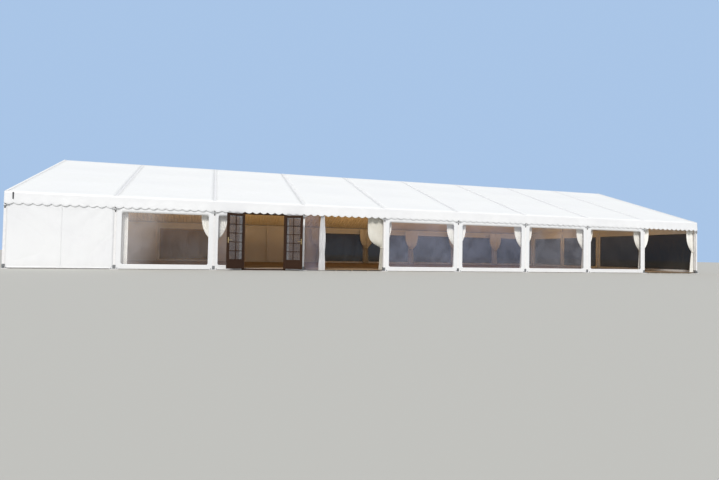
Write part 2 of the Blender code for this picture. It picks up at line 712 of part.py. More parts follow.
def build_all_curtains(material):
    """Tied-back curtains on the inner faces of the legs; the rear ones dress the open hall."""
    front = -HALF_SPAN + LEG_DEPTH + GAP
    rear = HALF_SPAN - LEG_DEPTH - GAP - CURTAIN_THICKNESS
    bare = straight_side(LEG_WIDTH / 2)
    loose = straight_side(LOOSE_CURTAIN_WIDTH)
    tied = tied_side(CURTAIN_HALF_WIDTH, CURTAIN_TIE_HEIGHT, CURTAIN_SWEEP)
    wide = tied_side(OPEN_CURTAIN_HALF_WIDTH, OPEN_CURTAIN_TIE_HEIGHT, OPEN_CURTAIN_SWEEP)
    build_curtains("end_bay_curtains", {1: (bare, loose), 2: (tied, tied)}, front, material)
    row = {index: (tied, tied) for index in range(DRAWN_BAY + 2, BAY_COUNT)}
    row[DRAWN_BAY + 1] = (wide, tied)
    row[BAY_COUNT] = (tied, bare)
    build_curtains("front_curtains", row, front, material)
    rear_row = {index: (tied, tied) for index in range(DRAWN_BAY + 1, BAY_COUNT)}
    build_curtains("rear_curtains", rear_row, rear, material)


def build():
    global PARTS
    clear_scene()
    PARTS = bpy.data.collections.new("marquee")
    bpy.context.scene.collection.children.link(PARTS)

    white_sheet = make_material("white_coated_sheet", (0.90, 0.91, 0.92), 0.45)
    clear_sheet = make_material("clear_sheet", (0.80, 0.81, 0.84), 0.08, alpha=0.35)
    alloy = make_material("mill_aluminium", (0.72, 0.73, 0.75), 0.38, 1.0)
    steel = make_material("galvanised_steel", (0.36, 0.37, 0.38), 0.55, 1.0)
    boards = make_material("floor_boards", (0.42, 0.29, 0.17), 0.65)
    door_wood = make_material("stained_wood", (0.11, 0.045, 0.028), 0.42)
    door_glass = make_material("door_glass", (0.82, 0.85, 0.85), 0.03, alpha=0.30)
    brass = make_material("handle_metal", (0.62, 0.52, 0.32), 0.30, 1.0)
    curtain = make_material("ivory_curtain", (0.86, 0.83, 0.76), 0.80)
    lining = make_material("ivory_lining", (0.74, 0.66, 0.50), 0.80)

    build_floor(boards)
    for side in ("front", "rear"):
        build_wall_frame(side, alloy)
        build_roof_frame(side, alloy)
        build_lining(side, lining)
        build_valance(side, white_sheet)
    build_roof_sheets(white_sheet)
    for end in ("left", "right"):
        build_gable_frame(end, alloy)
        build_gable_triangle(end, white_sheet)
    build_left_gable_wall(white_sheet)
    build_right_gable_wall(white_sheet, clear_sheet)
    build_rear_wall(white_sheet, clear_sheet)
    build_solid_front_wall(white_sheet)
    for bay in WINDOW_FRONT_BAYS:
        build_window_wall("front_%d" % (bay + 1), *bay_range(bay), WINDOW_SIDE_BORDER,
                          white_sheet, clear_sheet)
    build_door_frame(door_wood)
    build_door_surround(white_sheet, clear_sheet)
    for hand in ("left", "right"):
        build_hinges(hand, steel)
        build_leaf(hand, door_wood, door_glass, brass)
    build_drawn_wall(white_sheet, clear_sheet)
    build_all_curtains(curtain)


build()
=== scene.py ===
# %% [markdown]
# A clear-span marquee is a row of aluminium frames with coated sheets pulled between them.
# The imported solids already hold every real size, so they are loaded first and never moved.
# Each plain slab of cloth is then hidden and a modelled sheet hangs in the same place.

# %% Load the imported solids
import math

import bmesh
import bpy
from mathutils import Matrix, Vector, noise


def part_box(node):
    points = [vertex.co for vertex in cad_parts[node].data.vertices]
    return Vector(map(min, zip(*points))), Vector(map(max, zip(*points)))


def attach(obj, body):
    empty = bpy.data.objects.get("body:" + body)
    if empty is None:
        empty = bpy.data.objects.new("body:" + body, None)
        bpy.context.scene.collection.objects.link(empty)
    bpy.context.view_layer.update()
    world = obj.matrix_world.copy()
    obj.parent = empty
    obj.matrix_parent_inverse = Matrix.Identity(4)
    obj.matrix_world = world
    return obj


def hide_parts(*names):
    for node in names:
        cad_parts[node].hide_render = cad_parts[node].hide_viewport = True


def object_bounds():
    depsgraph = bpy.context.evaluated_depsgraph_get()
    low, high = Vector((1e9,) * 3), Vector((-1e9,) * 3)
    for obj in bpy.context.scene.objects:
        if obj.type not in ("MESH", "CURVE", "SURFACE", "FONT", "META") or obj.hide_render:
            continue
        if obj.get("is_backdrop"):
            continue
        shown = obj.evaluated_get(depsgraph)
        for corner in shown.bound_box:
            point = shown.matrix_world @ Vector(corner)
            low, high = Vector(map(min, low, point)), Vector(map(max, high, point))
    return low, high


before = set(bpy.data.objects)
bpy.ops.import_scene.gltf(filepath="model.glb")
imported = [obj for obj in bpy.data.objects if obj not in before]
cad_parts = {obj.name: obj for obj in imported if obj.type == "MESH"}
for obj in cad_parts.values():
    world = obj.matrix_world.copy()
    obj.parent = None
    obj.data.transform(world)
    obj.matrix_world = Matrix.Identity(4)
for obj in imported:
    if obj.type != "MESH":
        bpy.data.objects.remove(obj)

cad_low, cad_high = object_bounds()
print("packed nodes:", len(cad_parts), "size:", [round(v, 3) for v in cad_high - cad_low])

# %% [markdown]
# A wide lens stands low in front of the doors, turned towards the open end bay.
# The place, turn and lens were worked out from the spacing of the ten legs, the eave and the
# ridge, so the camera is made before anything else.

# %% Camera
EYE = Vector((-7.546, -23.094, 0.624))
YAW, PITCH, ROLL = math.radians(16.57), math.radians(1.59), math.radians(1.03)
LENS = 24.71
SENSOR = 36.0
VIEW_REACH = 400.0

look = Vector((math.sin(YAW) * math.cos(PITCH), math.cos(YAW) * math.cos(PITCH), math.sin(PITCH)))
level = Vector((math.cos(YAW), -math.sin(YAW), 0.0))
head = level.cross(look)
across = level * math.cos(ROLL) + head * math.sin(ROLL)
upward = head * math.cos(ROLL) - level * math.sin(ROLL)
camera = bpy.data.objects.new("camera", bpy.data.cameras.new("camera"))
bpy.context.scene.collection.objects.link(camera)
camera.matrix_world = Matrix.Translation(EYE) @ Matrix((across, upward, -look)).transposed().to_4x4()
camera.data.lens = LENS
camera.data.sensor_width = SENSOR
camera.data.clip_end = VIEW_REACH
bpy.context.scene.camera = camera
print("camera at", tuple(EYE))

# %% [markdown]
# The sizes of the tent are the ones that its solids were built from. Every sheet below takes its
# edges from these values, so cloth and frame stay together.

# %% Sizes
BAY = 3.0
BAYS = 9
HALF_LENGTH = BAY * BAYS / 2
HALF_SPAN = 6.0
EAVE = 2.30
RIDGE = 4.30
SLOPE = (RIDGE - EAVE) / HALF_SPAN
SECANT = math.hypot(1.0, SLOPE)
SLOPE_LENGTH = HALF_SPAN * SECANT
SHEET = 0.010
GAP = 0.0003
LEG_WIDTH = 0.070
LEG_DEPTH = 0.120
END_FACE = HALF_LENGTH + LEG_WIDTH / 2
RAFTER_DROP = 0.140 * SECANT
PLATE_TOP = 0.012
WALL_FOOT = PLATE_TOP + GAP
WALL_HEAD = EAVE - SHEET * SECANT - GAP
EAVE_BEAM_TOP = EAVE - RAFTER_DROP - GAP
GABLE_SPLIT = EAVE_BEAM_TOP - 0.060
GABLE_REACH = HALF_SPAN - LEG_DEPTH - GAP
GABLE_POSTS = (-3.0, 0.0, 3.0)
WINDOW_TOP = EAVE - 0.500
WINDOW_BORDER = 0.150
WINDOW_FOOT = WALL_FOOT + 0.150
WINDOW_CORNER = 0.060
VALANCE_FOOT = EAVE - 0.380
FLOOR_TOP = 0.050
FRAMES = [-HALF_LENGTH + index * BAY for index in range(BAYS + 1)]
SIDES = (("front", -1), ("rear", 1))
ENDS = (("left", -1), ("right", 1))


def bay_range(bay):
    inset = LEG_WIDTH / 2 + GAP
    return FRAMES[bay] + inset, FRAMES[bay + 1] - inset


def roof_z(y):
    return RIDGE - abs(y) * SLOPE


print("frames at x =", FRAMES)

# %% [markdown]
# Materials are built from nodes. A few small helpers add a node, feed its inputs, do a sum and
# place a node group, so that each recipe below reads as a list.

# %% Node helpers
def connect(tree, node, values):
    """Feeds inputs by name: an output of another node is linked, the rest are fixed values."""
    for name, value in values.items():
        if isinstance(value, bpy.types.NodeSocket):
            tree.links.new(value, node.inputs[name])
        else:
            node.inputs[name].default_value = value
    return node


def add(tree, kind, inputs=None, **settings):
    made = tree.nodes.new("ShaderNode" + kind)
    for name, value in settings.items():
        setattr(made, name, value)
    return connect(tree, made, inputs or {})


def maths(tree, operation, first, second=0.5):
    return add(tree, "Math", {0: first, 1: second}, operation=operation).outputs[0]


def ranged(tree, value, low, high, start=0.0, end=1.0, curve="LINEAR"):
    """Turns the stretch from start to end into the stretch from low to high."""
    ends = {"From Min": start, "From Max": end, "To Min": low, "To Max": high}
    return add(tree, "MapRange", {"Value": value, **ends}, interpolation_type=curve).outputs[0]


def scaled(tree, position, factors):
    return add(tree, "VectorMath", {0: position, 1: factors}, operation="MULTIPLY").outputs[0]


def open_group(name, output, **inputs):
    """Starts a node group of one output; an input without a value is a position."""
    group = bpy.data.node_groups.new(name, "ShaderNodeTree")
    for label, value in inputs.items():
        kind = "NodeSocketVector" if value is None else "NodeSocketFloat"
        socket = group.interface.new_socket(name=label, in_out="INPUT", socket_type=kind)
        if value is not None:
            socket.default_value = value
    group.interface.new_socket(name=output, in_out="OUTPUT", socket_type="NodeSocketFloat")
    return group, group.nodes.new("NodeGroupInput").outputs


def close_group(group, result):
    group.links.new(result, group.nodes.new("NodeGroupOutput").inputs[0])
    return group


def use(tree, group, **inputs):
    return add(tree, "Group", inputs, node_tree=group).outputs[0]


print("node helpers ready")

# %% [markdown]
# Five effects turn up in more than one finish. Mottle is the uneven tone of a sheet that has been
# hired out for years. Weave is the thread under a coating. Creases are what folding leaves behind.
# Splash is mud thrown up at the foot by rain. Grain is the run of timber or of an extrusion.

# %% Shared effects
def make_mottle():
    group, given = open_group("mottle", "Mask", Position=None, Scale=1.0, Low=0.35, High=0.65)
    cloud = add(group, "TexNoise", {
        "Vector": given["Position"], "Scale": given["Scale"], "Detail": 4.0, "Roughness": 0.6})
    mask = ranged(group, cloud.outputs["Fac"], 0.0, 1.0, given["Low"], given["High"], "SMOOTHSTEP")
    return close_group(group, mask)


def make_weave():
    group, given = open_group("weave", "Height", Cloth=None, Threads=400.0)
    thread = {"Vector": given["Cloth"], "Scale": given["Threads"], "Distortion": 0.4}
    rows = [add(group, "TexWave", thread, wave_type="BANDS", bands_direction=axis, wave_profile="SIN")
            for axis in ("X", "Y")]
    return close_group(group, maths(group, "MAXIMUM", *[row.outputs["Fac"] for row in rows]))


def make_creases():
    group, given = open_group("creases", "Height", Position=None, Scale=2.0, Bend=0.8)
    soft = add(group, "TexNoise", {
        "Vector": given["Position"], "Scale": given["Scale"], "Detail": 3.0, "Distortion": given["Bend"]})
    ridge = maths(group, "ABSOLUTE", maths(group, "SUBTRACT", soft.outputs["Fac"], 0.5))
    return close_group(group, maths(group, "POWER", ridge, 0.6))


def make_splash():
    group, given = open_group("splash", "Mask", Position=None, Reach=0.35)
    height = add(group, "SeparateXYZ", {0: given["Position"]}).outputs["Z"]
    low = ranged(group, height, 0.0, 1.0, given["Reach"], 0.0, "SMOOTHSTEP")
    spots = add(group, "TexNoise", {
        "Vector": given["Position"], "Scale": 9.0, "Detail": 6.0, "Roughness": 0.7})
    return close_group(group, maths(group, "MULTIPLY", low, spots.outputs["Fac"]))


def make_grain():
    group, given = open_group("grain", "Grain", Position=None, Scale=6.0, Waver=2.0)
    rings = add(group, "TexWave", {
        "Vector": given["Position"], "Scale": given["Scale"], "Distortion": given["Waver"],
        "Detail": 3.0, "Detail Scale": 1.5}, wave_type="BANDS", bands_direction="DIAGONAL")
    pores = add(group, "TexNoise", {"Vector": given["Position"], "Scale": 40.0, "Detail": 5.0})
    return close_group(group, maths(group, "MULTIPLY", rings.outputs["Fac"], pores.outputs["Fac"]))


MOTTLE, WEAVE, CREASES = make_mottle(), make_weave(), make_creases()
SPLASH, GRAIN = make_splash(), make_grain()
print("shared effects:", [group.name for group in bpy.data.node_groups])

# %% [markdown]
# Every finish follows one pattern: a clean colour, a second colour under a mask, an uneven
# roughness and one or two bumps. The surface shader itself stays in the material.

# %% Finish helpers
def new_finish(name):
    material = bpy.data.materials.new(name)
    material.use_nodes = True
    tree = material.node_tree
    place = add(tree, "TexCoord").outputs
    return material, tree, tree.nodes["Principled BSDF"], place["Object"], place["UV"]


def blend_colours(tree, mask, *colours):
    first, second = (part if isinstance(part, bpy.types.NodeSocket) else (*part, 1.0) for part in colours)
    return add(tree, "Mix", {0: mask, 6: first, 7: second}, data_type="RGBA").outputs[2]


def bumped(tree, height, distance, strength=1.0, under=None):
    relief = {"Height": height, "Distance": distance, "Strength": strength}
    if under is not None:
        relief["Normal"] = under
    return add(tree, "Bump", relief).outputs["Normal"]


print("finish helpers ready")

# %% [markdown]
# The white sheets are polyester coated on both faces: almost pure white, satin, with the thread
# showing only close up. Long creases and a little grime keep them from looking like paper.

# %% White coated sheet
MUD = (0.42, 0.38, 0.29)


def white_sheet(name, clean, worn, crease, soil):
    material, tree, shader, spot, cloth = new_finish(name)
    tone = use(tree, MOTTLE, Position=spot, Scale=0.7)
    mud = ranged(tree, use(tree, SPLASH, Position=spot), 0.0, soil)
    fold = use(tree, CREASES, Position=spot, Scale=0.9)
    thread = use(tree, WEAVE, Cloth=cloth, Threads=300.0)
    connect(tree, shader, {
        "Base Color": blend_colours(tree, mud, blend_colours(tree, tone, clean, worn), MUD),
        "Roughness": ranged(tree, tone, 0.36, 0.50),
        "Normal": bumped(tree, thread, 0.0002, 0.4, bumped(tree, fold, crease)),
        "Coat Weight": 0.10, "Coat Roughness": 0.30})
    return material


WALL_SHEET = white_sheet("white_wall_sheet", (0.86, 0.86, 0.865), (0.82, 0.82, 0.83), 0.012, 0.15)
ROOF_SHEET = white_sheet("white_roof_sheet", (0.88, 0.88, 0.875), (0.85, 0.85, 0.84), 0.008, 0.0)
# Painted light: a whiter copy of the wall sheet for the bunched folds, lifting the shade in their deep
# pleats; it also carries more mud at its foot.
LIGHTENED_FOLDS_SHEET = white_sheet("painted_light_folded_sheet", (0.94, 0.935, 0.94), (0.91, 0.905, 0.91), 0.004, 0.25)
print("white sheets:", WALL_SHEET.name, ROOF_SHEET.name, LIGHTENED_FOLDS_SHEET.name)

# %% [markdown]
# The window sheet is soft clear vinyl. It is never quite clear: it mirrors what is before it, carries
# a grey-violet haze and ripples where it was rolled. Part transparency with a gloss gives that. The
# haze scatters light forwards, so a shadow ray passes where a view ray meets the haze. The sheets
# differ in how much haze they carry: some are hazy and one has almost none. On one the haze thins
# out towards one side, painted shade: the haze is kept only where sun falls on it. Seen from inside,
# the far walls' sheets have an inner face painted dark, or tan in one bay: painted shade that stands
# in for the shade behind them.

# %% Clear window sheet
SHADE_EDGE_SLANT = (1.0, 0.0, -0.33)


def clear_sheet(name, haze, low, high, inner=None, shade_fade=None):
    """low and high are the cover of the haze; inner is a colour and a cover for the inner face, painted shade
    on it;
    fade says from where to where the haze thins out into painted shade, and what share of it is left."""
    material, tree, shader, spot, _ = new_finish(name)
    cloudy = use(tree, MOTTLE, Position=spot, Scale=1.6)
    colour = blend_colours(tree, cloudy, haze, [part * 1.25 for part in haze])
    cover = ranged(tree, cloudy, low, high)
    # Painted shade: beyond a slanting line the haze thins out, so it shows only on the part the sun falls on.
    if shade_fade:
        slant = add(tree, "VectorMath", {0: spot, 1: SHADE_EDGE_SLANT}, operation="DOT_PRODUCT")
        start, end, rest = shade_fade
        share = ranged(tree, slant.outputs["Value"], 1.0, rest, start, end, "SMOOTHSTEP")
        cover = maths(tree, "MULTIPLY", cover, share)
    # Painted shade: the inner face gets a colour and a cover of its own.
    if inner:
        inside = add(tree, "NewGeometry").outputs["Backfacing"]
        colour = blend_colours(tree, inside, colour, inner[0])
        cover = ranged(tree, inside, cover, inner[1])
    passing = maths(tree, "SUBTRACT", 1.0, add(tree, "LightPath").outputs["Is Shadow Ray"])
    ripple = use(tree, CREASES, Position=scaled(tree, spot, (1.0, 1.0, 0.35)), Scale=1.8)
    connect(tree, shader, {
        "Base Color": colour, "Alpha": maths(tree, "MULTIPLY", cover, passing),
        "Roughness": ranged(tree, cloudy, 0.06, 0.16), "Normal": bumped(tree, ripple, 0.010),
        "IOR": 1.52})
    return material


HAZY_SHEET = clear_sheet("hazy_window_sheet", (0.57, 0.61, 0.82), 0.11, 0.15)
CLEAR_SHEET = clear_sheet("clear_window_sheet", (0.66, 0.66, 0.76), 0.09, 0.13)
SUN_PATCH_HAZE_SHEET = clear_sheet("painted_sun_patch_window_sheet", (0.66, 0.65, 0.68), 0.25, 0.29,
                              shade_fade=(-10.2, -9.3, 0.22))
FAINT_HAZE_SHEET = clear_sheet("faint_haze_window_sheet", (0.30, 0.27, 0.25), 0.03, 0.05)
DRAWN_SHEET = clear_sheet("clear_drawn_sheet", (0.18, 0.175, 0.23), 0.32, 0.46)
# Painted shade: a dark inner face for the far sheets, standing in for the dark shade behind them.
PAINTED_SHADE_SHEET = clear_sheet("painted_shade_window_sheet", (0.44, 0.45, 0.52), 0.20, 0.28,
                         inner=((0.045, 0.042, 0.038), 0.975))
# Painted shade: a tan inner face, standing in for the shaded tan hall behind this one sheet.
PAINTED_TAN_SHADE_SHEET = clear_sheet("painted_tan_shade_window_sheet", (0.44, 0.45, 0.52), 0.20, 0.28,
                           inner=((0.33, 0.23, 0.06), 0.99))
print("clear sheets:", [m.name for m in bpy.data.materials if "clear" in m.name or "window" in m.name])

# %% [markdown]
# The curtains and the roof lining are light woven cloth. Sheen lifts their edges, as fine fibres
# do. The lining's colour is painted warmer than ivory, standing in for the warm lamp light it only
# ever sees. The curtain in the open bay gets a darker copy of the curtain cloth, painted shade
# against the direct sun it stands in.

# %% Curtain and lining cloth
def drape_cloth(name, light, dark, threads, sheen):
    material, tree, shader, spot, cloth = new_finish(name)
    tone = use(tree, MOTTLE, Position=spot, Scale=2.5)
    thread = use(tree, WEAVE, Cloth=cloth, Threads=threads)
    crush = use(tree, CREASES, Position=spot, Scale=7.0)
    connect(tree, shader, {
        "Base Color": blend_colours(tree, tone, light, dark),
        "Roughness": ranged(tree, tone, 0.74, 0.88),
        "Normal": bumped(tree, thread, 0.0003, 0.5, bumped(tree, crush, 0.002)),
        "Sheen Weight": sheen, "Sheen Roughness": 0.45})
    return material


CURTAIN = drape_cloth("ivory_curtain_cloth", (0.94, 0.925, 0.885), (0.90, 0.88, 0.83), 260.0, 0.35)
# Painted shade: a darker copy of the curtain cloth for the one curtain that stands in direct sun.
SHADE_DARKENED_CURTAIN = drape_cloth("shade_darkened_curtain_cloth", (0.76, 0.74, 0.68), (0.71, 0.68, 0.61), 260.0, 0.35)
# Painted light: the warm colour stands in for lamp light on ivory cloth.
LINING = drape_cloth("ivory_lining_cloth", (0.84, 0.76, 0.60), (0.77, 0.69, 0.53), 260.0, 0.25)
BAND = drape_cloth("tie_band_cloth", (0.74, 0.69, 0.58), (0.66, 0.61, 0.50), 420.0, 0.20)
print("drapes:", CURTAIN.name, SHADE_DARKENED_CURTAIN.name, LINING.name, BAND.name)

# %% [markdown]
# Rafters and gable posts are mill-finish extrusions: pale, chalky silver with faint lines along
# their length, so they are only partly metallic. The legs and eave beams are coated white. Pegs,
# shoes and ratchets are galvanised steel, darker and spangled.

# %% Metals
def metal(name, light, dark, smooth, rough, stretch, scratch, bare=1.0):
    material, tree, shader, spot, _ = new_finish(name)
    lines = use(tree, GRAIN, Position=scaled(tree, spot, stretch), Scale=9.0, Waver=1.0)
    wear = use(tree, MOTTLE, Position=spot, Scale=11.0)
    connect(tree, shader, {
        "Base Color": blend_colours(tree, wear, light, dark),
        "Roughness": ranged(tree, wear, smooth, rough),
        "Normal": bumped(tree, lines, scratch), "Metallic": bare})
    return material


ALLOY = metal("mill_aluminium", (0.91, 0.905, 0.91), (0.83, 0.825, 0.83), 0.42, 0.56, (1, 1, 1),
              0.0004, 0.20)
COATED = metal("white_coated_alloy", (0.90, 0.885, 0.88), (0.84, 0.825, 0.82), 0.34, 0.48, (1, 1, 1),
               0.0004, 0.0)
STEEL = metal("galvanised_steel", (0.34, 0.35, 0.36), (0.20, 0.205, 0.21), 0.45, 0.65, (3, 3, 3), 0.0006)
BRIGHT_STEEL = metal("bright_zinc_steel", (0.62, 0.63, 0.64), (0.44, 0.445, 0.45), 0.40, 0.60, (3, 3, 3),
                     0.0004, 0.6)
HINGE = metal("hinge_steel", (0.42, 0.42, 0.43), (0.26, 0.26, 0.27), 0.35, 0.55, (2, 2, 8), 0.0003)
BRASS = metal("satin_brass", (0.66, 0.52, 0.28), (0.48, 0.36, 0.18), 0.24, 0.42, (6, 6, 6), 0.0002)
print("metals:", [m.name for m in (ALLOY, COATED, STEEL, BRIGHT_STEEL, HINGE, BRASS)])

# %% [markdown]
# The doors are stained hardwood with the grain running up the stiles, and its colour is darkened past
# the stain: painted shade for the shade of a tree over the doors. The floor is worn softwood
# board, each board a little lighter or darker than the next, which a colour attribute carries.

# %% Timber
DULL_BOARD = (0.20, 0.13, 0.075)


def timber(name, dark, light, stretch, roughness, shine, board_tone=False):
    material, tree, shader, spot, _ = new_finish(name)
    run = use(tree, GRAIN, Position=scaled(tree, spot, stretch), Scale=5.0, Waver=3.0)
    colour = blend_colours(tree, run, dark, light)
    if board_tone:
        tone = add(tree, "Attribute", attribute_name="board_tone").outputs["Fac"]
        colour = blend_colours(tree, tone, colour, DULL_BOARD)
    wear = use(tree, MOTTLE, Position=spot, Scale=5.0)
    connect(tree, shader, {
        "Base Color": colour, "Roughness": ranged(tree, wear, roughness - 0.08, roughness + 0.10),
        "Normal": bumped(tree, run, 0.0006), "Specular IOR Level": shine})
    return material


# Painted shade: dark stain darkened further for the shade over the doors.
STAINED_AND_SHADED_WOOD = timber("stained_and_shaded_hardwood", (0.022, 0.009, 0.004), (0.076, 0.031, 0.013), (14, 14, 1.2),
                   0.46, 0.22)
BOARDS = timber("worn_floor_boards", (0.24, 0.165, 0.10), (0.46, 0.345, 0.22), (1.0, 16, 16),
                0.62, 0.50, True)
print("timber:", STAINED_AND_SHADED_WOOD.name, BOARDS.name)

# %% [markdown]
# Door glass is flat and hard, so it gets a plain glossy surface with a faint smear. Webbing is
# woven polyester in dark grey.

# %% Glass and webbing
DOOR_GLASS, tree, shader, spot, _ = new_finish("door_glass")
smear = use(tree, MOTTLE, Position=spot, Scale=6.0)
connect(tree, shader, {
    "Base Color": blend_colours(tree, smear, (0.080, 0.072, 0.076), (0.120, 0.108, 0.114)),
    "Roughness": ranged(tree, smear, 0.02, 0.07), "Alpha": ranged(tree, smear, 0.34, 0.42)})
WEBBING = drape_cloth("dark_webbing", (0.050, 0.052, 0.056), (0.085, 0.086, 0.090), 900.0, 0.10)
print("glass and webbing:", DOOR_GLASS.name, WEBBING.name)

# %% [markdown]
# A node whose shape is already right keeps its mesh and only takes a finish. These are the
# frames, the doors and their fittings.

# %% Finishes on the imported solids
KEPT = {"door_frame": STAINED_AND_SHADED_WOOD}
for side, _ in SIDES:
    KEPT.update({side + "_wall_frame": COATED, side + "_roof_frame": ALLOY})
for end, _ in ENDS:
    KEPT.update({end + "_gable_frame": ALLOY, end + "_door_leaf": STAINED_AND_SHADED_WOOD,
                 end + "_door_glass": DOOR_GLASS, end + "_door_handle": BRASS, end + "_door_hinges": HINGE})
for node_name, material in KEPT.items():
    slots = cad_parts[node_name].data.materials
    slots.clear()
    slots.append(material)
print("finished packed nodes:", len(KEPT))

# %% [markdown]
# One helper turns a bmesh into a finished piece. It joins doubled points, points the faces
# outwards, rounds the shading, gives thin cloth its thickness and sets what it rides on. Another
# does this for a sheet of cloth in the place of an imported node, which it hides.

# %% Piece helpers
def make_piece(name, bm, material, body="marquee", stands_for=(), thick=0.0, sharp=30.0, facing=None):
    """sharp is the angle in degrees from which an edge shows: with 0 all is round, with None flat."""
    bmesh.ops.remove_doubles(bm, verts=bm.verts, dist=0.00002)
    bmesh.ops.recalc_face_normals(bm, faces=bm.faces)
    if facing and sum(face.normal.dot(facing) for face in bm.faces) < 0:
        bmesh.ops.reverse_faces(bm, faces=bm.faces)
    mesh = bpy.data.meshes.new(name)
    bm.to_mesh(mesh)
    bm.free()
    if sharp is not None:
        mesh.shade_smooth()
    if sharp:
        mesh.set_sharp_from_angle(angle=math.radians(sharp))
    mesh.materials.append(material)
    piece = bpy.data.objects.new(name, mesh)
    bpy.context.scene.collection.objects.link(piece)
    if thick:
        wall = piece.modifiers.new("thickness", "SOLIDIFY")
        wall.thickness = thick
        wall.offset = 0.0
    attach(piece, body)
    if stands_for:
        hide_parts(*stands_for)
    return piece


def make_cloth(name, bm, material, slot, node, flat, held, rests_on, thick=0.0, facing=None, **cut):
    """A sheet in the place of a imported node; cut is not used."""
    cloth = make_piece(name, bm, material, stands_for=[node], thick=thick, sharp=0.0, facing=facing)
    return cloth


def ramp(value, low, high):
    share = max(0.0, min(1.0, (value - low) / (high - low)))
    return share * share * (3 - 2 * share)


def rough(u, v, seed):
    return noise.noise(Vector((u, v, seed * 7.31)))


print("piece helpers ready")

# %% [markdown]
# A sheet of cloth starts as a flat grid. Its two shares, from 0 to 1 across and up, are turned
# into a place in the tent by a small function, and the same shares give it a map in metres. A
# hung sheet stands a little out of its plane: not at its sides and head, where it is held, more at
# its foot, and in a fan of small creases from each upper corner.

# %% Cloth grid
SIDE_HOLD, HEAD_HOLD = 0.45, (0.05, 0.9)
FAN_TURNS, FAN_REACH, FAN_SHARE = 17.0, 0.9, 0.55
FOOT_STEP, FOOT_RISE, FOOT_SHARE = 0.62, 0.8, 0.45


def cloth_grid(columns, rows, size, place):
    bm = bmesh.new()
    bmesh.ops.create_grid(bm, x_segments=columns, y_segments=rows, size=0.5)
    layer = bm.loops.layers.uv.new("UVMap")
    shares = {vert: (vert.co.x + 0.5, vert.co.y + 0.5) for vert in bm.verts}
    for face in bm.faces:
        for loop in face.loops:
            u, v = shares[loop.vert]
            loop[layer].uv = (u * size[0], v * size[1])
    for vert, (u, v) in shares.items():
        vert.co = place(u, v)
    return bm


def slack(u, v, width, height, seed, depth):
    """How far a hung sheet stands out of its plane, u and v in metres from its foot corner."""
    side = ramp(min(u, width - u), 0.0, SIDE_HOLD)
    top = ramp(height - v, *HEAD_HOLD)
    soft = rough(u * 0.9, v * 0.55, seed) + 0.5 * rough(u * 2.3, v * 1.1, seed + 3)
    fan = 0.0
    for corner in (0.0, width):
        reach = math.hypot(u - corner, height - v)
        turn = math.atan2(height - v, abs(u - corner) + 0.05)
        fan += math.sin(turn * FAN_TURNS + seed) * math.exp(-reach / FAN_REACH) * ramp(reach, 0.1, 0.5)
    fold = math.sin(u * 2 * math.pi / FOOT_STEP + 2.5 * rough(u, 0.0, seed))
    foot = fold * (1 - ramp(v, 0.0, FOOT_RISE))
    return depth * side * (top * (soft + FOOT_SHARE * foot) + FAN_SHARE * fan)


print("cloth helpers ready")

# %% [markdown]
# A roof sheet runs from eave to eave over the ridge between two rafters, held by a bead along each
# side. It hangs in a shallow belly between them and rests on the purlins, so the belly dies out
# there. Each is one grid with a row of points on the ridge.

# %% Roof sheets
ROOF_COLUMNS, ROOF_ROWS = 22, 84
PURLINS = (2.0, 4.0)
ROOF_SINK = 0.0035
ROOF_BELLY, ON_PURLIN = 0.020, 0.30
ROOF_PULL = 0.0035
CORNER_CREASES, CORNER_DEPTH, CORNER_REACH = 12.566, 0.004, 0.45


def roof_place(low, high, seed):
    def place(u, v):
        x = low + (high - low) * u
        y = HALF_SPAN * (2 * v - 1)
        to_eave = HALF_SPAN - abs(y)
        between = min(abs(abs(y) - purlin) for purlin in PURLINS)
        free = ON_PURLIN + (1 - ON_PURLIN) * ramp(between, 0.0, 0.8)
        ends = ramp(abs(y), 0.0, 0.9) * ramp(to_eave, 0.0, 0.7)
        belly = math.sin(math.pi * u) * (ROOF_BELLY * free * ends)
        pull = ROOF_PULL * math.sin(math.pi * u) * rough(x * 0.8, y * 1.9, seed)
        corner = math.exp(-to_eave / CORNER_REACH) * math.sin(u * CORNER_CREASES) ** 2 * CORNER_DEPTH
        return Vector((x, y, roof_z(y) - ROOF_SINK - belly + pull - corner))
    return place


for bay in range(BAYS):
    low, high = bay_range(bay)
    size = (high - low, 2 * HALF_SPAN * SECANT)
    make_cloth("roof_cover_%d" % (bay + 1),
               cloth_grid(ROOF_COLUMNS, ROOF_ROWS, size, roof_place(low, high, bay + 1)),
               ROOF_SHEET, "white_sheet", "roof_sheet_%d" % (bay + 1), size, "stretched",
               ["front_roof_frame", "rear_roof_frame"], thick=0.002)
print("roof sheets:", BAYS, "each", [round(v, 2) for v in size])

# %% [markdown]
# Between two roof sheets the top of the rafter shows as a silver strip. Two small lips along it
# hold the beads. They are thin bars laid down each slope, clipped short of the ridge. A piece of
# bars and rods builds the two apart and joins them last: only so do its faces keep one order.

# %% Bar and rod helpers, rafter lips
def add_bar(bm, corner, opposite, bevel=0.0, turn=None):
    """A box between two opposite corners, its edges eased when bevel is given."""
    low, high = (Vector([pick(pair) for pair in zip(corner, opposite)]) for pick in (min, max))
    size = Matrix.Diagonal((*(high - low), 1.0))
    place = Matrix.Translation((low + high) / 2) @ size
    made = bmesh.ops.create_cube(bm, size=1.0, matrix=(turn @ place) if turn else place)
    if bevel:
        edges = dict.fromkeys(edge for vert in made["verts"] for edge in vert.link_edges)
        bmesh.ops.bevel(bm, geom=list(edges), offset=bevel, offset_type="OFFSET", affect="EDGES",
                        segments=1, profile=0.5, material=-1)


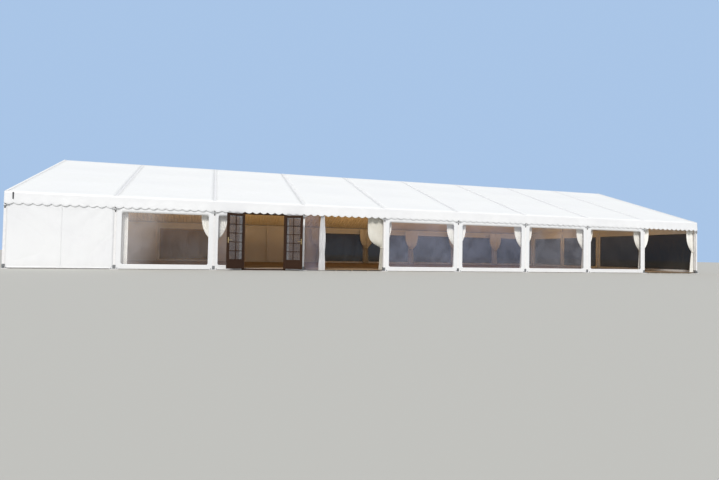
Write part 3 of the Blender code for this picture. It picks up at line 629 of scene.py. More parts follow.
def add_rod(bm, start, end, radius, segments=12, tip=None):
    """A round bar, or a cone when tip is given: two rings of points and the faces between them."""
    start, end = Vector(start), Vector(end)
    run = end - start
    turn = Vector((0, 0, 1)).rotation_difference(run.normalized()).to_matrix().to_4x4()
    place = Matrix.Translation((start + end) / 2) @ turn
    angles = [2 * math.pi * index / segments for index in range(segments)]
    rings = []
    for wide, reach in ((radius, -run.length / 2), (radius if tip is None else tip, run.length / 2)):
        spots = [Vector((wide * math.sin(angle), wide * math.cos(angle), reach)) for angle in angles]
        rings.append([bm.verts.new(place @ spot) for spot in spots])
        bm.faces.new(rings[-1])
    foot, top = rings
    for index in range(segments):
        bm.faces.new((foot[index - 1], foot[index], top[index], top[index - 1]))


def slope_turn(sign):
    """Turns a bar drawn level along y down one slope of the roof, from the ridge."""
    return Matrix.Translation((0, 0, RIDGE)) @ Matrix.Rotation(-sign * math.atan(SLOPE), 4, "X")


LIP_OFFSET = 0.030
LIP_HALF = 0.004
for side, sign in SIDES:
    lips = bmesh.new()
    for x in [middle + edge for middle in FRAMES for edge in (-LIP_OFFSET, LIP_OFFSET)]:
        add_bar(lips, (x - LIP_HALF, sign * LIP_OFFSET, -0.001),
                (x + LIP_HALF, sign * (SLOPE_LENGTH - LIP_HALF), 0.005), turn=slope_turn(sign))
    make_piece(side + "_rafter_lips", lips, ALLOY, sharp=None)
print("rafter lips on", len(FRAMES), "frames")

# %% [markdown]
# The end rafters are dressed in white: a strip of roof sheet laps over each one and is turned down
# over its outer face. An angle of two thin bars, run down each slope, gives that edge.

# %% Verge strips
VERGE_DROP = 0.075
VERGE_BARS = ((HALF_LENGTH - LEG_WIDTH / 2, 0.0056, 0.0076), (END_FACE + 0.0008, -VERGE_DROP, 0.0054))
for end, sign_x in ENDS:
    verge = bmesh.new()
    for sign in (-1, 1):
        for inner, foot, top in VERGE_BARS:
            add_bar(verge, (sign_x * inner, sign * 0.002, foot),
                    (sign_x * (END_FACE + 0.003), sign * (SLOPE_LENGTH - 0.002), top), 0.0004,
                    slope_turn(sign))
    make_piece(end + "_verge_strip", verge, ROOF_SHEET)
print("verge strips: 4 slopes")

# %% [markdown]
# The valance is a strip of the same sheet that hangs from the eave and ends in round scallops with
# a bound edge. One long grid does it: every scallop gets eight columns and its lower row follows a
# half sine. It flutters a little, more at the foot than at the head.

# %% Valances
SCALLOPS = 108
SCALLOP_DEPTH = 0.055
SCALLOP_COLUMNS = 8
SCALLOP_LOSS = 0.020
BINDING_WIDTH, BINDING_SHARES = 0.016, (-0.008, 0.045)
FLUTTER_STEP = 0.50
VALANCE_OUT = 0.0035
SWING, SWING_WAVE, SWING_ROUGH = 0.015, 0.005, 0.007


def flutter(x, drop, seed):
    """Distance that the cloth hangs out from the wall at a drop from the eave."""
    wave = math.sin(x * 2 * math.pi / FLUTTER_STEP + 2.2 * rough(x * 0.7, 0, seed))
    swing = SWING + SWING_WAVE * wave + SWING_ROUGH * rough(x * 2.1, drop, seed)
    return VALANCE_OUT + ramp(drop, 0.02, 0.42) * swing


def valance_place(sign, seed, low_share, high_share):
    def place(u, v):
        x = -END_FACE + 2 * END_FACE * u
        foot = VALANCE_FOOT + SCALLOP_DEPTH * (1 - math.sin(math.pi * ((u * SCALLOPS) % 1.0)))
        top = EAVE - 0.004
        z = foot + (top - foot) * (low_share + (high_share - low_share) * v)
        return Vector((x, sign * (HALF_SPAN + flutter(x, EAVE - z, seed)), z))
    return place


for (side, sign), seed in zip(SIDES, (1.0, 4.0)):
    size = (2 * END_FACE, EAVE - VALANCE_FOOT)
    columns = SCALLOPS * SCALLOP_COLUMNS
    edge = cloth_grid(columns, 1, (size[0], BINDING_WIDTH), valance_place(sign, seed, *BINDING_SHARES))
    binding = make_piece(side + "_valance_binding", edge, WALL_SHEET, thick=0.0050,
                         sharp=0.0)
    make_cloth(side + "_scalloped_valance",
               cloth_grid(columns, 9, size, valance_place(sign, seed, 0.0, 1.0)), WALL_SHEET,
               "white_sheet", side + "_valance", size, "hung", [side + "_roof_frame"], thick=0.0018,
               area=size[0] * (size[1] - SCALLOP_LOSS), with_pieces=[binding])
print("valance scallops:", SCALLOPS, "a side")

# %% [markdown]
# Where roof and valance meet, the sheet is pulled round a tube that runs the length of the eave.
# A slim rod in white stands for that roll.

# %% Eave rolls
ROLL_RADIUS = 0.009
for side, sign in SIDES:
    roll = bmesh.new()
    for bay in range(BAYS):
        start, end = ((x, sign * (HALF_SPAN - 0.004), EAVE - 0.013) for x in bay_range(bay))
        add_rod(roll, start, end, ROLL_RADIUS)
    make_piece(side + "_eave_roll", roll, ROOF_SHEET, sharp=40.0)
print("eave rolls made")

# %% [markdown]
# A window wall is a white sheet with a big clear panel welded in. The white part lies between two
# closed loops: the outer one follows the bay, the inner one the rounded window. So the first step
# is a list of points round the window, each with the point of the outer edge that it belongs to.

# %% Edge of a window
ARC_STEPS = 6
EDGE_STEP = 0.09


def window_pairs(outer, hole):
    """Points of the window edge, each with its partner on the sheet's outer edge."""
    low_u, high_u, low_v, high_v = outer
    left, right, foot, top = hole
    radius = WINDOW_CORNER
    corners = ((right - radius, foot + radius, -90, high_u, low_v),
               (right - radius, top - radius, 0, high_u, high_v),
               (left + radius, top - radius, 90, low_u, high_v),
               (left + radius, foot + radius, 180, low_u, low_v))
    arcs = []
    for cu, cv, first, edge_u, edge_v in corners:
        ends = [Vector((cu, edge_v)), Vector((edge_u, cv))]
        if first in (0, 180):
            ends.reverse()
        point = Vector((edge_u, edge_v))
        arc = []
        for step in range(ARC_STEPS + 1):
            share = step / ARC_STEPS
            angle = math.radians(first + 90 * share)
            inner = Vector((cu + radius * math.cos(angle), cv + radius * math.sin(angle)))
            outside = ends[0].lerp(point, 2 * share) if share <= 0.5 else point.lerp(ends[1], 2 * share - 1)
            arc.append((inner, outside))
        arcs.append(arc)
    pairs = []
    for arc, following in zip(arcs, arcs[1:] + arcs[:1]):
        pairs += arc
        start, end = arc[-1], following[0]
        steps = max(2, round((end[0] - start[0]).length / EDGE_STEP))
        for step in range(1, steps):
            pairs.append([a.lerp(b, step / steps) for a, b in zip(start, end)])
    return pairs


sample = window_pairs((0.0, BAY, WALL_FOOT, WALL_HEAD),
                      (WINDOW_BORDER, BAY - WINDOW_BORDER, WINDOW_FOOT, WINDOW_TOP))
print("points round a window:", len(sample))

# %% [markdown]
# Seven loops at chosen shares of the way from the outer edge to the window are then bridged to
# make the cloth, and narrow bands among them leave room for the weld and the hem, which stand a
# millimetre proud. A map from wall to tent lets one helper serve all four sides.

# %% Window wall helpers
BANDS = (0.0, 0.06, 0.30, 0.62, 0.80, 0.84, 1.0)
WELD = 0.0012


def ring_cloth(outer, hole, place):
    """Bridged loops between the outer edge and the window; place takes u, v and the band's share."""
    bm = bmesh.new()
    pairs = window_pairs(outer, hole)
    flat, loops = {}, []
    for share in BANDS:
        ring = []
        for inner, outside in pairs:
            point = outside.lerp(inner, share)
            vert = bm.verts.new((point.x, point.y, 0.0))
            flat[vert] = (point.x, point.y, share)
            ring.append(vert)
        loops.append([bm.edges.new(pair) for pair in zip(ring, ring[1:] + ring[:1])])
    for first, second in zip(loops, loops[1:]):
        bmesh.ops.bridge_loops(bm, edges=first + second)
    layer = bm.loops.layers.uv.new("UVMap")
    for face in bm.faces:
        for loop in face.loops:
            loop[layer].uv = flat[loop.vert][:2]
    for vert, spot in flat.items():
        vert.co = place(*spot)
    return bm


def wall_spot(side):
    """Maps a distance along a wall, a height and an outward offset into the tent."""
    sign = -1 if side in ("front", "left") else 1
    if side in ("front", "rear"):
        return lambda u, v, out: Vector((u, sign * (HALF_SPAN - SHEET / 2 + out), v))
    return lambda u, v, out: Vector((sign * (END_FACE - SHEET / 2 + out), u, v))


def frame_of(side):
    return [side + ("_wall_frame" if side in ("front", "rear") else "_gable_frame")]


print("window wall helpers ready")

# %% [markdown]
# Each window wall is then two pieces: the white surround and the clear sheet lapped 20 mm behind
# it. The clear sheet bows in and out a few millimetres, which is what bends its reflections.

# %% Window walls
PANE_LAP = 0.020
PANE_SINK = 0.0025
WALL_THICK = 0.0015
WINDOW_SLACK = 0.005
WELD_FROM, EDGE_HEM, FOOT_HEM = 0.82, 0.03, 0.05
PANE_HOLD, PANE_BOW, PANE_WAVE = 0.12, 0.006, 0.0025


def make_window(name, side, outer, border, seed, nodes, finish=CLEAR_SHEET):
    """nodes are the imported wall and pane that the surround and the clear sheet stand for."""
    low, high, foot, head_z = outer
    spot = wall_spot(side)
    hole = (low + border, high - border, WINDOW_FOOT, WINDOW_TOP)
    width, height = high - low, head_z - foot
    clear_size = (hole[1] - hole[0] + 2 * PANE_LAP, hole[3] - hole[2] + 2 * PANE_LAP)

    def stand_out(along, up):
        return slack(along - low, up - foot, width, height, seed, WINDOW_SLACK)

    def white(u, v, share):
        proud = share > WELD_FROM or share < EDGE_HEM or v - foot < FOOT_HEM
        weld = WELD if proud else 0.0
        return spot(u, v, stand_out(u, v) + weld)

    def clear(u, v):
        along, up = hole[0] - PANE_LAP + clear_size[0] * u, hole[2] - PANE_LAP + clear_size[1] * v
        free = ramp(min(u, 1 - u), 0.0, PANE_HOLD) * ramp(min(v, 1 - v), 0.0, PANE_HOLD)
        bow = PANE_BOW * rough(along * 1.1, up * 0.6, seed + 9) + PANE_WAVE * math.sin(along * 9 + seed)
        return spot(along, up, stand_out(along, up) - PANE_SINK + free * bow)

    surround = make_cloth(name + "_surround", ring_cloth(outer, hole, white), WALL_SHEET, "white_sheet",
                          nodes[0], (width, height), "stretched", frame_of(side), thick=WALL_THICK,
                          area=width * height - (hole[1] - hole[0]) * (hole[3] - hole[2]))
    make_cloth(name + "_clear_sheet", cloth_grid(30, 20, clear_size, clear), finish, "clear_sheet",
               nodes[1], clear_size, "stretched", [surround], facing=spot(0, 0, 1) - spot(0, 0, 0))


FRONT_WINDOWS = {1: SUN_PATCH_HAZE_SHEET, 4: HAZY_SHEET, 5: HAZY_SHEET, 6: CLEAR_SHEET, 7: FAINT_HAZE_SHEET}
for bay, finish in FRONT_WINDOWS.items():
    label = "front_%d" % (bay + 1)
    make_window("front_bay_%d" % (bay + 1), "front", (*bay_range(bay), WALL_FOOT, WALL_HEAD),
                WINDOW_BORDER, bay * 1.7, (label + "_window_wall", label + "_clear_pane"), finish)
print("front window walls:", len(FRONT_WINDOWS))

# %% [markdown]
# The doors stand in a bay of their own, so a narrower window wall closes each side of them. The
# packed boxes say where those two walls end.

# %% Window walls beside the doors
DOOR_SIDE_BORDER = 0.090
for hand, seed in (("left", 2.2), ("right", 5.1)):
    label = "door_" + hand
    near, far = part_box(label + "_window_wall")
    make_window(label + "_bay", "front", (near.x, far.x, WALL_FOOT, WALL_HEAD), DOOR_SIDE_BORDER, seed,
                (label + "_window_wall", label + "_clear_pane"))
print("walls beside the doors: 2")

# %% [markdown]
# Plain walls are a single grid each. A seam where two widths of cloth were welded runs up the
# middle of a bay, and a hem with a bar inside runs along the foot. Both are narrow strips that
# follow the sheet one millimetre outside it.

# %% Plain wall helper
WALL_STEP = 0.07
STRIP_PROUD = 0.0018
STRIP_THICK = 0.0014
SEAM_HALF, SEAM_WIDTH = 0.014, 0.025
HEM_HEIGHT, HEM_WIDTH = 0.055, 0.06


def add_to(bm, other):
    mesh = bpy.data.meshes.new("part")
    other.to_mesh(mesh)
    other.free()
    bm.from_mesh(mesh)
    bpy.data.meshes.remove(mesh)


def plain_wall(name, side, outer, seed, node, seams=(), depth=0.010, hem=True):
    low, high, foot, head_z = outer
    spot = wall_spot(side)
    width, height = high - low, head_z - foot
    columns, rows = max(6, round(width / WALL_STEP)), max(4, round(height / WALL_STEP))

    def part(columns, rows, flat, u_low, u_high, v_high, proud=0.0):
        def place(u, v):
            along, up = u_low + (u_high - u_low) * u, foot + (v_high - foot) * v
            return spot(along, up, slack(along - low, up - foot, width, height, seed, depth) + proud)
        return cloth_grid(columns, rows, flat, place)

    strips = bmesh.new()
    for seam in seams:
        left, right = seam - SEAM_HALF, seam + SEAM_HALF
        add_to(strips, part(1, rows, (SEAM_WIDTH, height), left, right, head_z, STRIP_PROUD))
    if hem:
        add_to(strips, part(columns, 1, (width, HEM_WIDTH), low, high, foot + HEM_HEIGHT, STRIP_PROUD))
    extra = []
    if strips.verts:
        extra.append(make_piece(name + "_welds", strips, WALL_SHEET, thick=STRIP_THICK,
                                sharp=0.0))
    make_cloth(name, part(columns, rows, (width, height), low, high, head_z), WALL_SHEET, "white_sheet",
               node, (width, height), "stretched", frame_of(side), thick=WALL_THICK, with_pieces=extra)


print("plain wall helper ready")

# %% [markdown]
# The end bay at the front is a plain wall with one seam in its middle. Over the doors a short
# sheet fills the space up to the eave.

# %% Plain front walls
low, high = bay_range(0)
plain_wall("front_plain_cloth", "front", (low, high, WALL_FOOT, WALL_HEAD), 3.3, "front_solid_wall",
           seams=[(low + high) / 2], depth=0.014)
near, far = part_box("door_head_wall")
plain_wall("door_head_cloth", "front", (near.x, far.x, near.z, WALL_HEAD), 6.4, "door_head_wall",
           depth=0.004, hem=False)
print("plain front walls: 2")

# %% [markdown]
# The rear wall runs outside its legs, so its nine sheets meet on the frames. Six of them have
# windows, as seen through the tent, and three are plain. Each meeting line is covered by a lap.

# %% Rear wall
REAR_WINDOWS = (1, 4, 5, 6, 7, 8)
REAR_HEAD = EAVE_BEAM_TOP - 0.002
REAR_EDGES = [-END_FACE, *FRAMES[1:-1], END_FACE]
OUTSIDE_BORDER = WINDOW_BORDER + LEG_WIDTH / 2
LAP_HALF = 0.030
for bay, (low, high) in enumerate(zip(REAR_EDGES, REAR_EDGES[1:])):
    label = "rear_bay_%d" % (bay + 1)
    outer = (low, high, WALL_FOOT, REAR_HEAD)
    if bay in REAR_WINDOWS:
        make_window(label, "rear", outer, OUTSIDE_BORDER, 11.3 + bay * 1.9, ("rear_wall", "rear_clear_panes"),
                    PAINTED_TAN_SHADE_SHEET if bay == 1 else PAINTED_SHADE_SHEET)
    else:
        plain_wall(label + "_cloth", "rear", outer, 31.0 + bay, "rear_wall", seams=[(low + high) / 2])
laps = bmesh.new()
for x in FRAMES[1:-1]:
    add_bar(laps, (x - LAP_HALF, HALF_SPAN - 0.0035, WALL_FOOT + 0.002),
            (x + LAP_HALF, HALF_SPAN - 0.0015, REAR_HEAD), 0.0006)
make_piece("rear_wall_laps", laps, WALL_SHEET)
print("rear wall sheets:", BAYS)

# %% [markdown]
# The gable at the plain end is closed by one plain wall with three seams. The gable at the open end
# has a window in each of its four lengths, because daylight shows through it.

# %% Gable walls
GABLE_EDGES = [-GABLE_REACH, *GABLE_POSTS, GABLE_REACH]
plain_wall("left_gable_cloth", "left", (-GABLE_REACH, GABLE_REACH, WALL_FOOT, GABLE_SPLIT), 41.0,
           "left_gable_wall", seams=GABLE_POSTS, depth=0.008)
for index, (low, high) in enumerate(zip(GABLE_EDGES, GABLE_EDGES[1:])):
    make_window("right_gable_%d" % (index + 1), "right", (low, high, WALL_FOOT, GABLE_SPLIT),
                OUTSIDE_BORDER, 51.0 + 2.1 * index, ("right_gable_window_wall", "right_gable_clear_panes"),
                PAINTED_SHADE_SHEET)
print("gable wall lengths:", len(GABLE_EDGES) - 1, "at each end")

# %% [markdown]
# Above the wall a gable is a triangle of the same sheet. A grid whose upper row follows the slope of
# the roof gives it, and a flat strip covers the line where triangle and wall meet.

# %% Gable triangles
TRIANGLE_FOOT = GABLE_SPLIT + 2 * GAP
TRIANGLE_HEIGHT = RIDGE - RAFTER_DROP - GABLE_SPLIT
TRIANGLE_SIDES = TRIANGLE_HEIGHT - GABLE_REACH * SLOPE
GABLE_FACE = END_FACE - SHEET / 2
COVER_HALF = 0.020


def triangle_place(sign):
    def place(u, v):
        y = GABLE_REACH * (2 * u - 1)
        z = TRIANGLE_FOOT + (roof_z(y) - RAFTER_DROP - 2 * GAP - TRIANGLE_FOOT) * v
        ripple = 0.0030 * rough(y * 1.3, z * 1.3, 60 + sign) * math.sin(math.pi * v)
        return Vector((sign * (GABLE_FACE + ripple), y, z))
    return place


for end, sign in ENDS:
    size = (2 * GABLE_REACH, TRIANGLE_HEIGHT)
    make_cloth(end + "_gable_peak", cloth_grid(64, 14, size, triangle_place(sign)), WALL_SHEET,
               "white_sheet", end + "_gable_triangle", size, "stretched", frame_of(end),
               thick=WALL_THICK, area=GABLE_REACH * (TRIANGLE_HEIGHT + TRIANGLE_SIDES))
    cover = bmesh.new()
    add_bar(cover, (sign * (GABLE_FACE + 0.0015), -GABLE_REACH, GABLE_SPLIT - COVER_HALF),
            (sign * (GABLE_FACE + 0.0040), GABLE_REACH, GABLE_SPLIT + COVER_HALF), 0.0006)
    make_piece(end + "_gable_split_cover", cover, WALL_SHEET)
print("gables closed")

# %% [markdown]
# The fourth bay is open. Its own window wall was slid along and bunched up beside the doors. First
# comes a stretched clear part, a flat grid with slanting folds that deepen towards the bundle.

# %% Drawn wall, clear part
drawn_low, drawn_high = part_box("drawn_clear_wall")
DRAWN_SIZE = (drawn_high.x - drawn_low.x, drawn_high.z - WALL_FOOT)
DRAWN_Y = -HALF_SPAN + 0.012
DRAWN_FULLNESS = 1.1
FOLD_STEP, FOLD_SLANT, FOLD_DEPTH = 0.17, 0.55, 0.009


def drawn_clear(u, v):
    x = drawn_low.x + DRAWN_SIZE[0] * u
    z = WALL_FOOT + DRAWN_SIZE[1] * v
    slant = (z - WALL_FOOT) * FOLD_SLANT - (x - drawn_low.x)
    fold = math.sin(slant * 2 * math.pi / FOLD_STEP + 1.6 * rough(x * 2, z, 71)) * ramp(u, 0.05, 0.45)
    return Vector((x, DRAWN_Y - FOLD_DEPTH * fold, z))


make_cloth("drawn_clear_cloth", cloth_grid(28, 60, DRAWN_SIZE, drawn_clear), DRAWN_SHEET, "clear_sheet",
           "drawn_clear_wall", (DRAWN_SIZE[0] * DRAWN_FULLNESS, DRAWN_SIZE[1]), "gathered",
           frame_of("front"))
print("drawn clear part:", [round(v, 2) for v in DRAWN_SIZE])

# %% [markdown]
# Then comes the bundle of white cloth. It is one grid pressed into deep pleats, narrow at its head
# and at a waist low down, and wider between them, as cloth bunched in the hand is.

# %% Drawn wall, bundle
bunch_low, bunch_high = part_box("drawn_wall_bunch")
bunch_middle, bunch_half = (bunch_low + bunch_high) / 2, (bunch_high - bunch_low) / 2
BUNCH_FOLDS = 8
BUNCH_PLEAT = 0.030
CLOTH_PER_PLEAT = 4.3
BUNCH_FLAT = CLOTH_PER_PLEAT * BUNCH_FOLDS * BUNCH_PLEAT


def bunch_place(u, v):
    z = WALL_FOOT + (bunch_high.z - WALL_FOOT) * v
    swell = 0.62 + 0.38 * (1 - ramp(v, 0.55, 0.98)) - 0.16 * math.exp(-((v - 0.30) / 0.12) ** 2)
    x = bunch_middle.x + (bunch_half.x - 0.006) * (2 * u - 1) * swell + 0.004 * rough(u * 9, z * 2.0, 81)
    depth = (bunch_half.y - 0.004) * (0.80 + 0.20 * rough(u * 3, z * 1.4, 83))
    turn = 2 * math.pi * BUNCH_FOLDS * u + 0.9 * rough(u * 2, z, 82)
    return Vector((x, bunch_middle.y + depth * math.sin(turn), z))


# Painted light: the bundle takes the whiter copy of the wall sheet, lifting the shade in its folds.
make_cloth("drawn_wall_bundle", cloth_grid(BUNCH_FOLDS * 10, 48, (BUNCH_FLAT, 2.0), bunch_place),
           LIGHTENED_FOLDS_SHEET, "white_sheet", "drawn_wall_bunch", (BUNCH_FLAT, bunch_high.z - WALL_FOOT),
           "gathered", frame_of("front"))
print("drawn wall folds:", BUNCH_FOLDS)

# %% [markdown]
# Under the rafters hangs a pleated lining, one length to a bay on each slope. Narrow pleats run
# from ridge to eave. Between two rafters the cloth hangs a little lower than at them.

# %% Roof lining
PLEATS = 20
PLEAT_DEPTH = 0.022
LINING_SAG = 0.020
LINING_TOP = -RAFTER_DROP - 0.0012
LINING_END = END_FACE - SHEET - 2 * GAP
LINING_EDGES = [-LINING_END, *FRAMES[1:-1], LINING_END]
LINING_SIZE = (BAY * 1.07, GABLE_REACH * SECANT)


def lining_place(bay, sign):
    low, high = LINING_EDGES[bay:bay + 2]

    def place(u, v):
        y = sign * (0.0006 + (GABLE_REACH - 0.0016) * v)
        pleat = 0.5 - 0.5 * math.cos(2 * math.pi * PLEATS * u + 0.5 * rough(u * 4, v * 3, bay))
        sag = LINING_SAG * math.sin(math.pi * u) ** 2 * math.sin(math.pi * v)
        return Vector((low + (high - low) * u, y, roof_z(y) + LINING_TOP - PLEAT_DEPTH * pleat - sag))
    return place


for side, sign in SIDES:
    for bay in range(BAYS):
        make_cloth("%s_lining_bay_%d" % (side, bay + 1),
                   cloth_grid(PLEATS * 8, 14, LINING_SIZE, lining_place(bay, sign)), LINING,
                   "ivory_lining", side + "_lining", LINING_SIZE, "gathered", [side + "_roof_frame"])
print("lining lengths:", 2 * BAYS)

# %% [markdown]
# A curtain dresses each side of a leg. It is gathered on its heading, tied back to the leg at
# waist height and spreads again to the floor. The length of cloth across it stays the same all
# the way down, so the pleats grow deeper and closer as the curtain narrows. A style holds the
# width at the head, how late the edge sweeps in, the height of the tie and the width at the foot.

# %% Curtain shape
CURTAIN_HEAD = EAVE_BEAM_TOP - 0.030
CURTAIN_HEADER = 0.060
CURTAIN_FOOT = FLOOR_TOP + 0.005
CURTAIN_HEIGHT = CURTAIN_HEAD - CURTAIN_FOOT
CURTAIN_DEPTH = 0.090
TIE_REACH = 0.090
POST_SIDE = 0.006
PLEAT_STEP = 0.052
DEEPEST_PLEAT = 0.036
SINE_FOLD = 4.1
FULLNESS = 2.05
STYLES = {"tied": (0.420, 3.6, 0.980, 0.150), "wide": (0.600, 6.5, 0.870, 0.160),
          "slim": (0.330, 3.6, 0.980, 0.150), "corner": (0.420, 3.6, 0.980, 0.220),
          "loose": (0.350, None, None, 0.350)}


def curtain_reach(z, style):
    """How far the free edge is from the middle of the leg at a height; loose ones have no tie."""
    head, sweep, tie, foot = style
    head_z = CURTAIN_HEAD - CURTAIN_HEADER
    if z >= head_z or tie is None:
        return head
    if z >= tie:
        return head - (head - TIE_REACH) * ((head_z - z) / (head_z - tie)) ** sweep
    return TIE_REACH + (foot - TIE_REACH) * ((tie - z) / (tie - CURTAIN_FOOT)) ** 0.7


def fold_depth(width, folds, flat):
    """Depth of a pleat that uses up the flat cloth over a width."""
    step, want = width / folds, flat / folds
    return min(DEEPEST_PLEAT, math.sqrt(max(0.0, want * want - step * step)) / SINE_FOLD)


def curtain_place(x_post, hand, y_middle, seed, style, folds, flat):
    def place(u, v):
        z = CURTAIN_FOOT + CURTAIN_HEIGHT * v
        width = curtain_reach(z, style) - POST_SIDE
        slide = 0.030 * rough(u * 1.5, z * 0.9, seed) * math.sin(math.pi * u) * min(1.0, width / 0.3)
        sway = 2 * math.pi * folds * u + 1.3 * rough(u * 2.0, z * 0.8, seed + 5)
        depth = fold_depth(width, folds, flat) * (0.85 + 0.15 * rough(u * 3.0, z * 1.3, seed + 2))
        return Vector((x_post + hand * (POST_SIDE + width * u + slide), y_middle + depth * math.sin(sway), z))
    return place


sample = STYLES["tied"][0]
depths = [fold_depth(width, round(sample / PLEAT_STEP), sample * FULLNESS) for width in (sample, TIE_REACH)]
print("fold depth at head and tie:", [round(depth, 4) for depth in depths])

# %% [markdown]
# A tie band goes round each waist. It is an oval hoop with its top and bottom edges turned. The
# header is a narrow gathered strip that runs over a whole row.

# %% Curtain helpers
BAND_HEIGHT = 0.050
BAND_EASE, BAND_HALF_Y, BAND_THICK = 0.010, 0.040, 0.0025
BAND_SWELL = 0.08
BAND_TILT = 0.012
HEADER_STEP = 0.075
HEADER_HEIGHT = CURTAIN_HEADER * 1.15
HEADER_DEPTH, HEADER_RISE, HEADER_FULLNESS = 0.012, 0.006, 1.22


def tie_band(name, x_post, hand, y_middle, tie_z):
    bm = bmesh.new()
    centre = x_post + hand * (TIE_REACH + POST_SIDE) / 2
    half_x = (TIE_REACH - POST_SIDE) / 2 + BAND_EASE
    oval = Matrix.Diagonal((half_x, BAND_HALF_Y, 1.0, 1.0))
    place = Matrix.Translation((centre, y_middle, tie_z)) @ oval
    bmesh.ops.create_cone(bm, cap_ends=False, segments=24, radius1=1.0, radius2=1.0, depth=BAND_HEIGHT,
                          matrix=place)
    rim = [edge for edge in bm.edges if abs(edge.verts[0].co.z - edge.verts[1].co.z) > 0.01]
    bmesh.ops.subdivide_edges(bm, edges=rim, cuts=3)
    for vert in bm.verts:
        swell = 1 - ((vert.co.z - tie_z) / (BAND_HEIGHT / 2)) ** 2
        vert.co.x += (vert.co.x - centre) * BAND_SWELL * swell
        vert.co.z += BAND_TILT * (vert.co.x - centre) / half_x * -hand
    return make_piece(name, bm, BAND, thick=BAND_THICK, sharp=50.0)


def make_curtain(name, node, rests_on, x_post, hand, y_middle, seed, style, finish):
    folds = round(style[0] / PLEAT_STEP)
    flat = (style[0] * FULLNESS, CURTAIN_HEIGHT)
    place = curtain_place(x_post, hand, y_middle, seed, style, folds, flat[0])
    bands = [tie_band(name + "_tie", x_post, hand, y_middle, style[2])] if style[2] else []
    make_cloth(name, cloth_grid(folds * 8, 44, flat, place), finish, "ivory_curtain", node, flat,
               "gathered", rests_on, with_pieces=bands)


def header_band(name, node, rests_on, x_low, x_high, y_middle):
    pleats = round((x_high - x_low) / HEADER_STEP)

    def place(u, v):
        x = x_low + (x_high - x_low) * u
        wave = math.sin(2 * math.pi * pleats * u + 0.6 * rough(x, v, 91))
        z = CURTAIN_HEAD - HEADER_HEIGHT * (1 - v) + HEADER_RISE
        return Vector((x, y_middle + HEADER_DEPTH * wave, z))

    flat = ((x_high - x_low) * HEADER_FULLNESS, HEADER_HEIGHT)
    make_cloth(name, cloth_grid(pleats * 6, 3, flat, place), CURTAIN, "ivory_curtain", node, flat,
               "gathered", rests_on)


print("curtain helpers ready")

# %% [markdown]
# Three rows of curtains: two frames beside the plain end, the six frames from the open bay on, and
# the five inner frames behind them. The first of the six is wider and tied lower, because it
# dresses the open bay. The last one fills the corner down to the floor.

# %% Curtains
CURTAIN_Y = HALF_SPAN - LEG_DEPTH - GAP - CURTAIN_DEPTH / 2
HEADER_END = END_FACE - SHEET - 0.004 - 2 * GAP - LEG_WIDTH - 0.002
HEADER_INSET = 0.04
BOTH = (-1, 1)
SPECIAL = {("front", 4, -1): "wide", ("front", 4, 1): "slim", ("front", 9, -1): "corner",
           ("front_end", 1, 1): "loose"}
ROWS = (("front_end", "end_bay_curtains", "front", {1: (1,), 2: BOTH}),
        ("front", "front_curtains", "front", {**{index: BOTH for index in range(4, BAYS)}, BAYS: (-1,)}),
        ("rear", "rear_curtains", "rear", {index: BOTH for index in range(4, BAYS)}))
made = 0
for row, node, side, legs in ROWS:
    y_middle = dict(SIDES)[side] * CURTAIN_Y
    for index, hand in [(index, hand) for index, hands in legs.items() for hand in hands]:
        style = SPECIAL.get((row, index, hand), "tied")
        # The wide curtain takes the darker copy of the cloth, painted shade against the sun in the open bay.
        make_curtain("%s_curtain_%d_%s" % (row, index, "left" if hand < 0 else "right"), node,
                     frame_of(side), FRAMES[index], hand, y_middle, 100 + 3.7 * made, STYLES[style],
                     SHADE_DARKENED_CURTAIN if style == "wide" else CURTAIN)
        made += 1
    header_band(row + "_curtain_header", node, frame_of(side), FRAMES[min(legs)] + HEADER_INSET,
                min(FRAMES[max(legs)] - HEADER_INSET, HEADER_END), y_middle)
print("curtains:", made)

# %% [markdown]
# The floor is boards on bearers. Each board is one eased box with its own tone, three metres long,
# so its end joints fall on the frames. The bearers run across under them.

# %% Floor
floor_low, floor_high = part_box("floor")
BOARD_WIDTH = 0.195
HALF_JOINT = 0.003 / 2
BOARD_FOOT = floor_high.z - 0.022
BOARD_EASE = 0.0015
BEARERS = 46
BEARER_INSET, BEARER_END = 0.025, 0.004
BEARER_HALF = 0.022
board_rows = round((floor_high.y - floor_low.y) / BOARD_WIDTH)
board_step = (floor_high.y - floor_low.y) / board_rows

boards = bmesh.new()
tone_layer = boards.loops.layers.float_color.new("board_tone")
counted = 0
for row in range(board_rows):
    shift = (row % 2) * BAY / 2
    y = floor_low.y + row * board_step
    stops = [floor_low.x, *[x + shift for x in FRAMES[1:-1]], floor_high.x]
    for start, end in zip(stops, stops[1:]):
        before = set(boards.faces)
        add_bar(boards, (start + HALF_JOINT, y + HALF_JOINT, BOARD_FOOT),
                (end - HALF_JOINT, y + board_step - HALF_JOINT, floor_high.z), BOARD_EASE)
        shade = 0.5 + 0.5 * rough(start * 3.1, y * 5.3, 121)
        for loop in [loop for face in boards.faces if face not in before for loop in face.loops]:
            loop[tone_layer] = (shade, shade, shade, 1.0)
        counted += 1
make_piece("floor_board_rows", boards, BOARDS, stands_for=["floor"])

bearers = bmesh.new()
bearer_run = floor_high.x - floor_low.x - 2 * BEARER_INSET
for index in range(BEARERS):
    x = floor_low.x + BEARER_INSET + bearer_run * index / (BEARERS - 1)
    add_bar(bearers, (x - BEARER_HALF, floor_low.y + BEARER_END, 0.0),
            (x + BEARER_HALF, floor_high.y - BEARER_END, BOARD_FOOT - GAP), 0.001)
make_piece("floor_bearers", bearers, BOARDS)
print("boards:", counted, "bearers:", BEARERS)

# %% [markdown]
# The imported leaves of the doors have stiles, rails and glass, and stand open. What is added to them
# is measured on the shut leaf, from its hinge line, because there every edge is square.

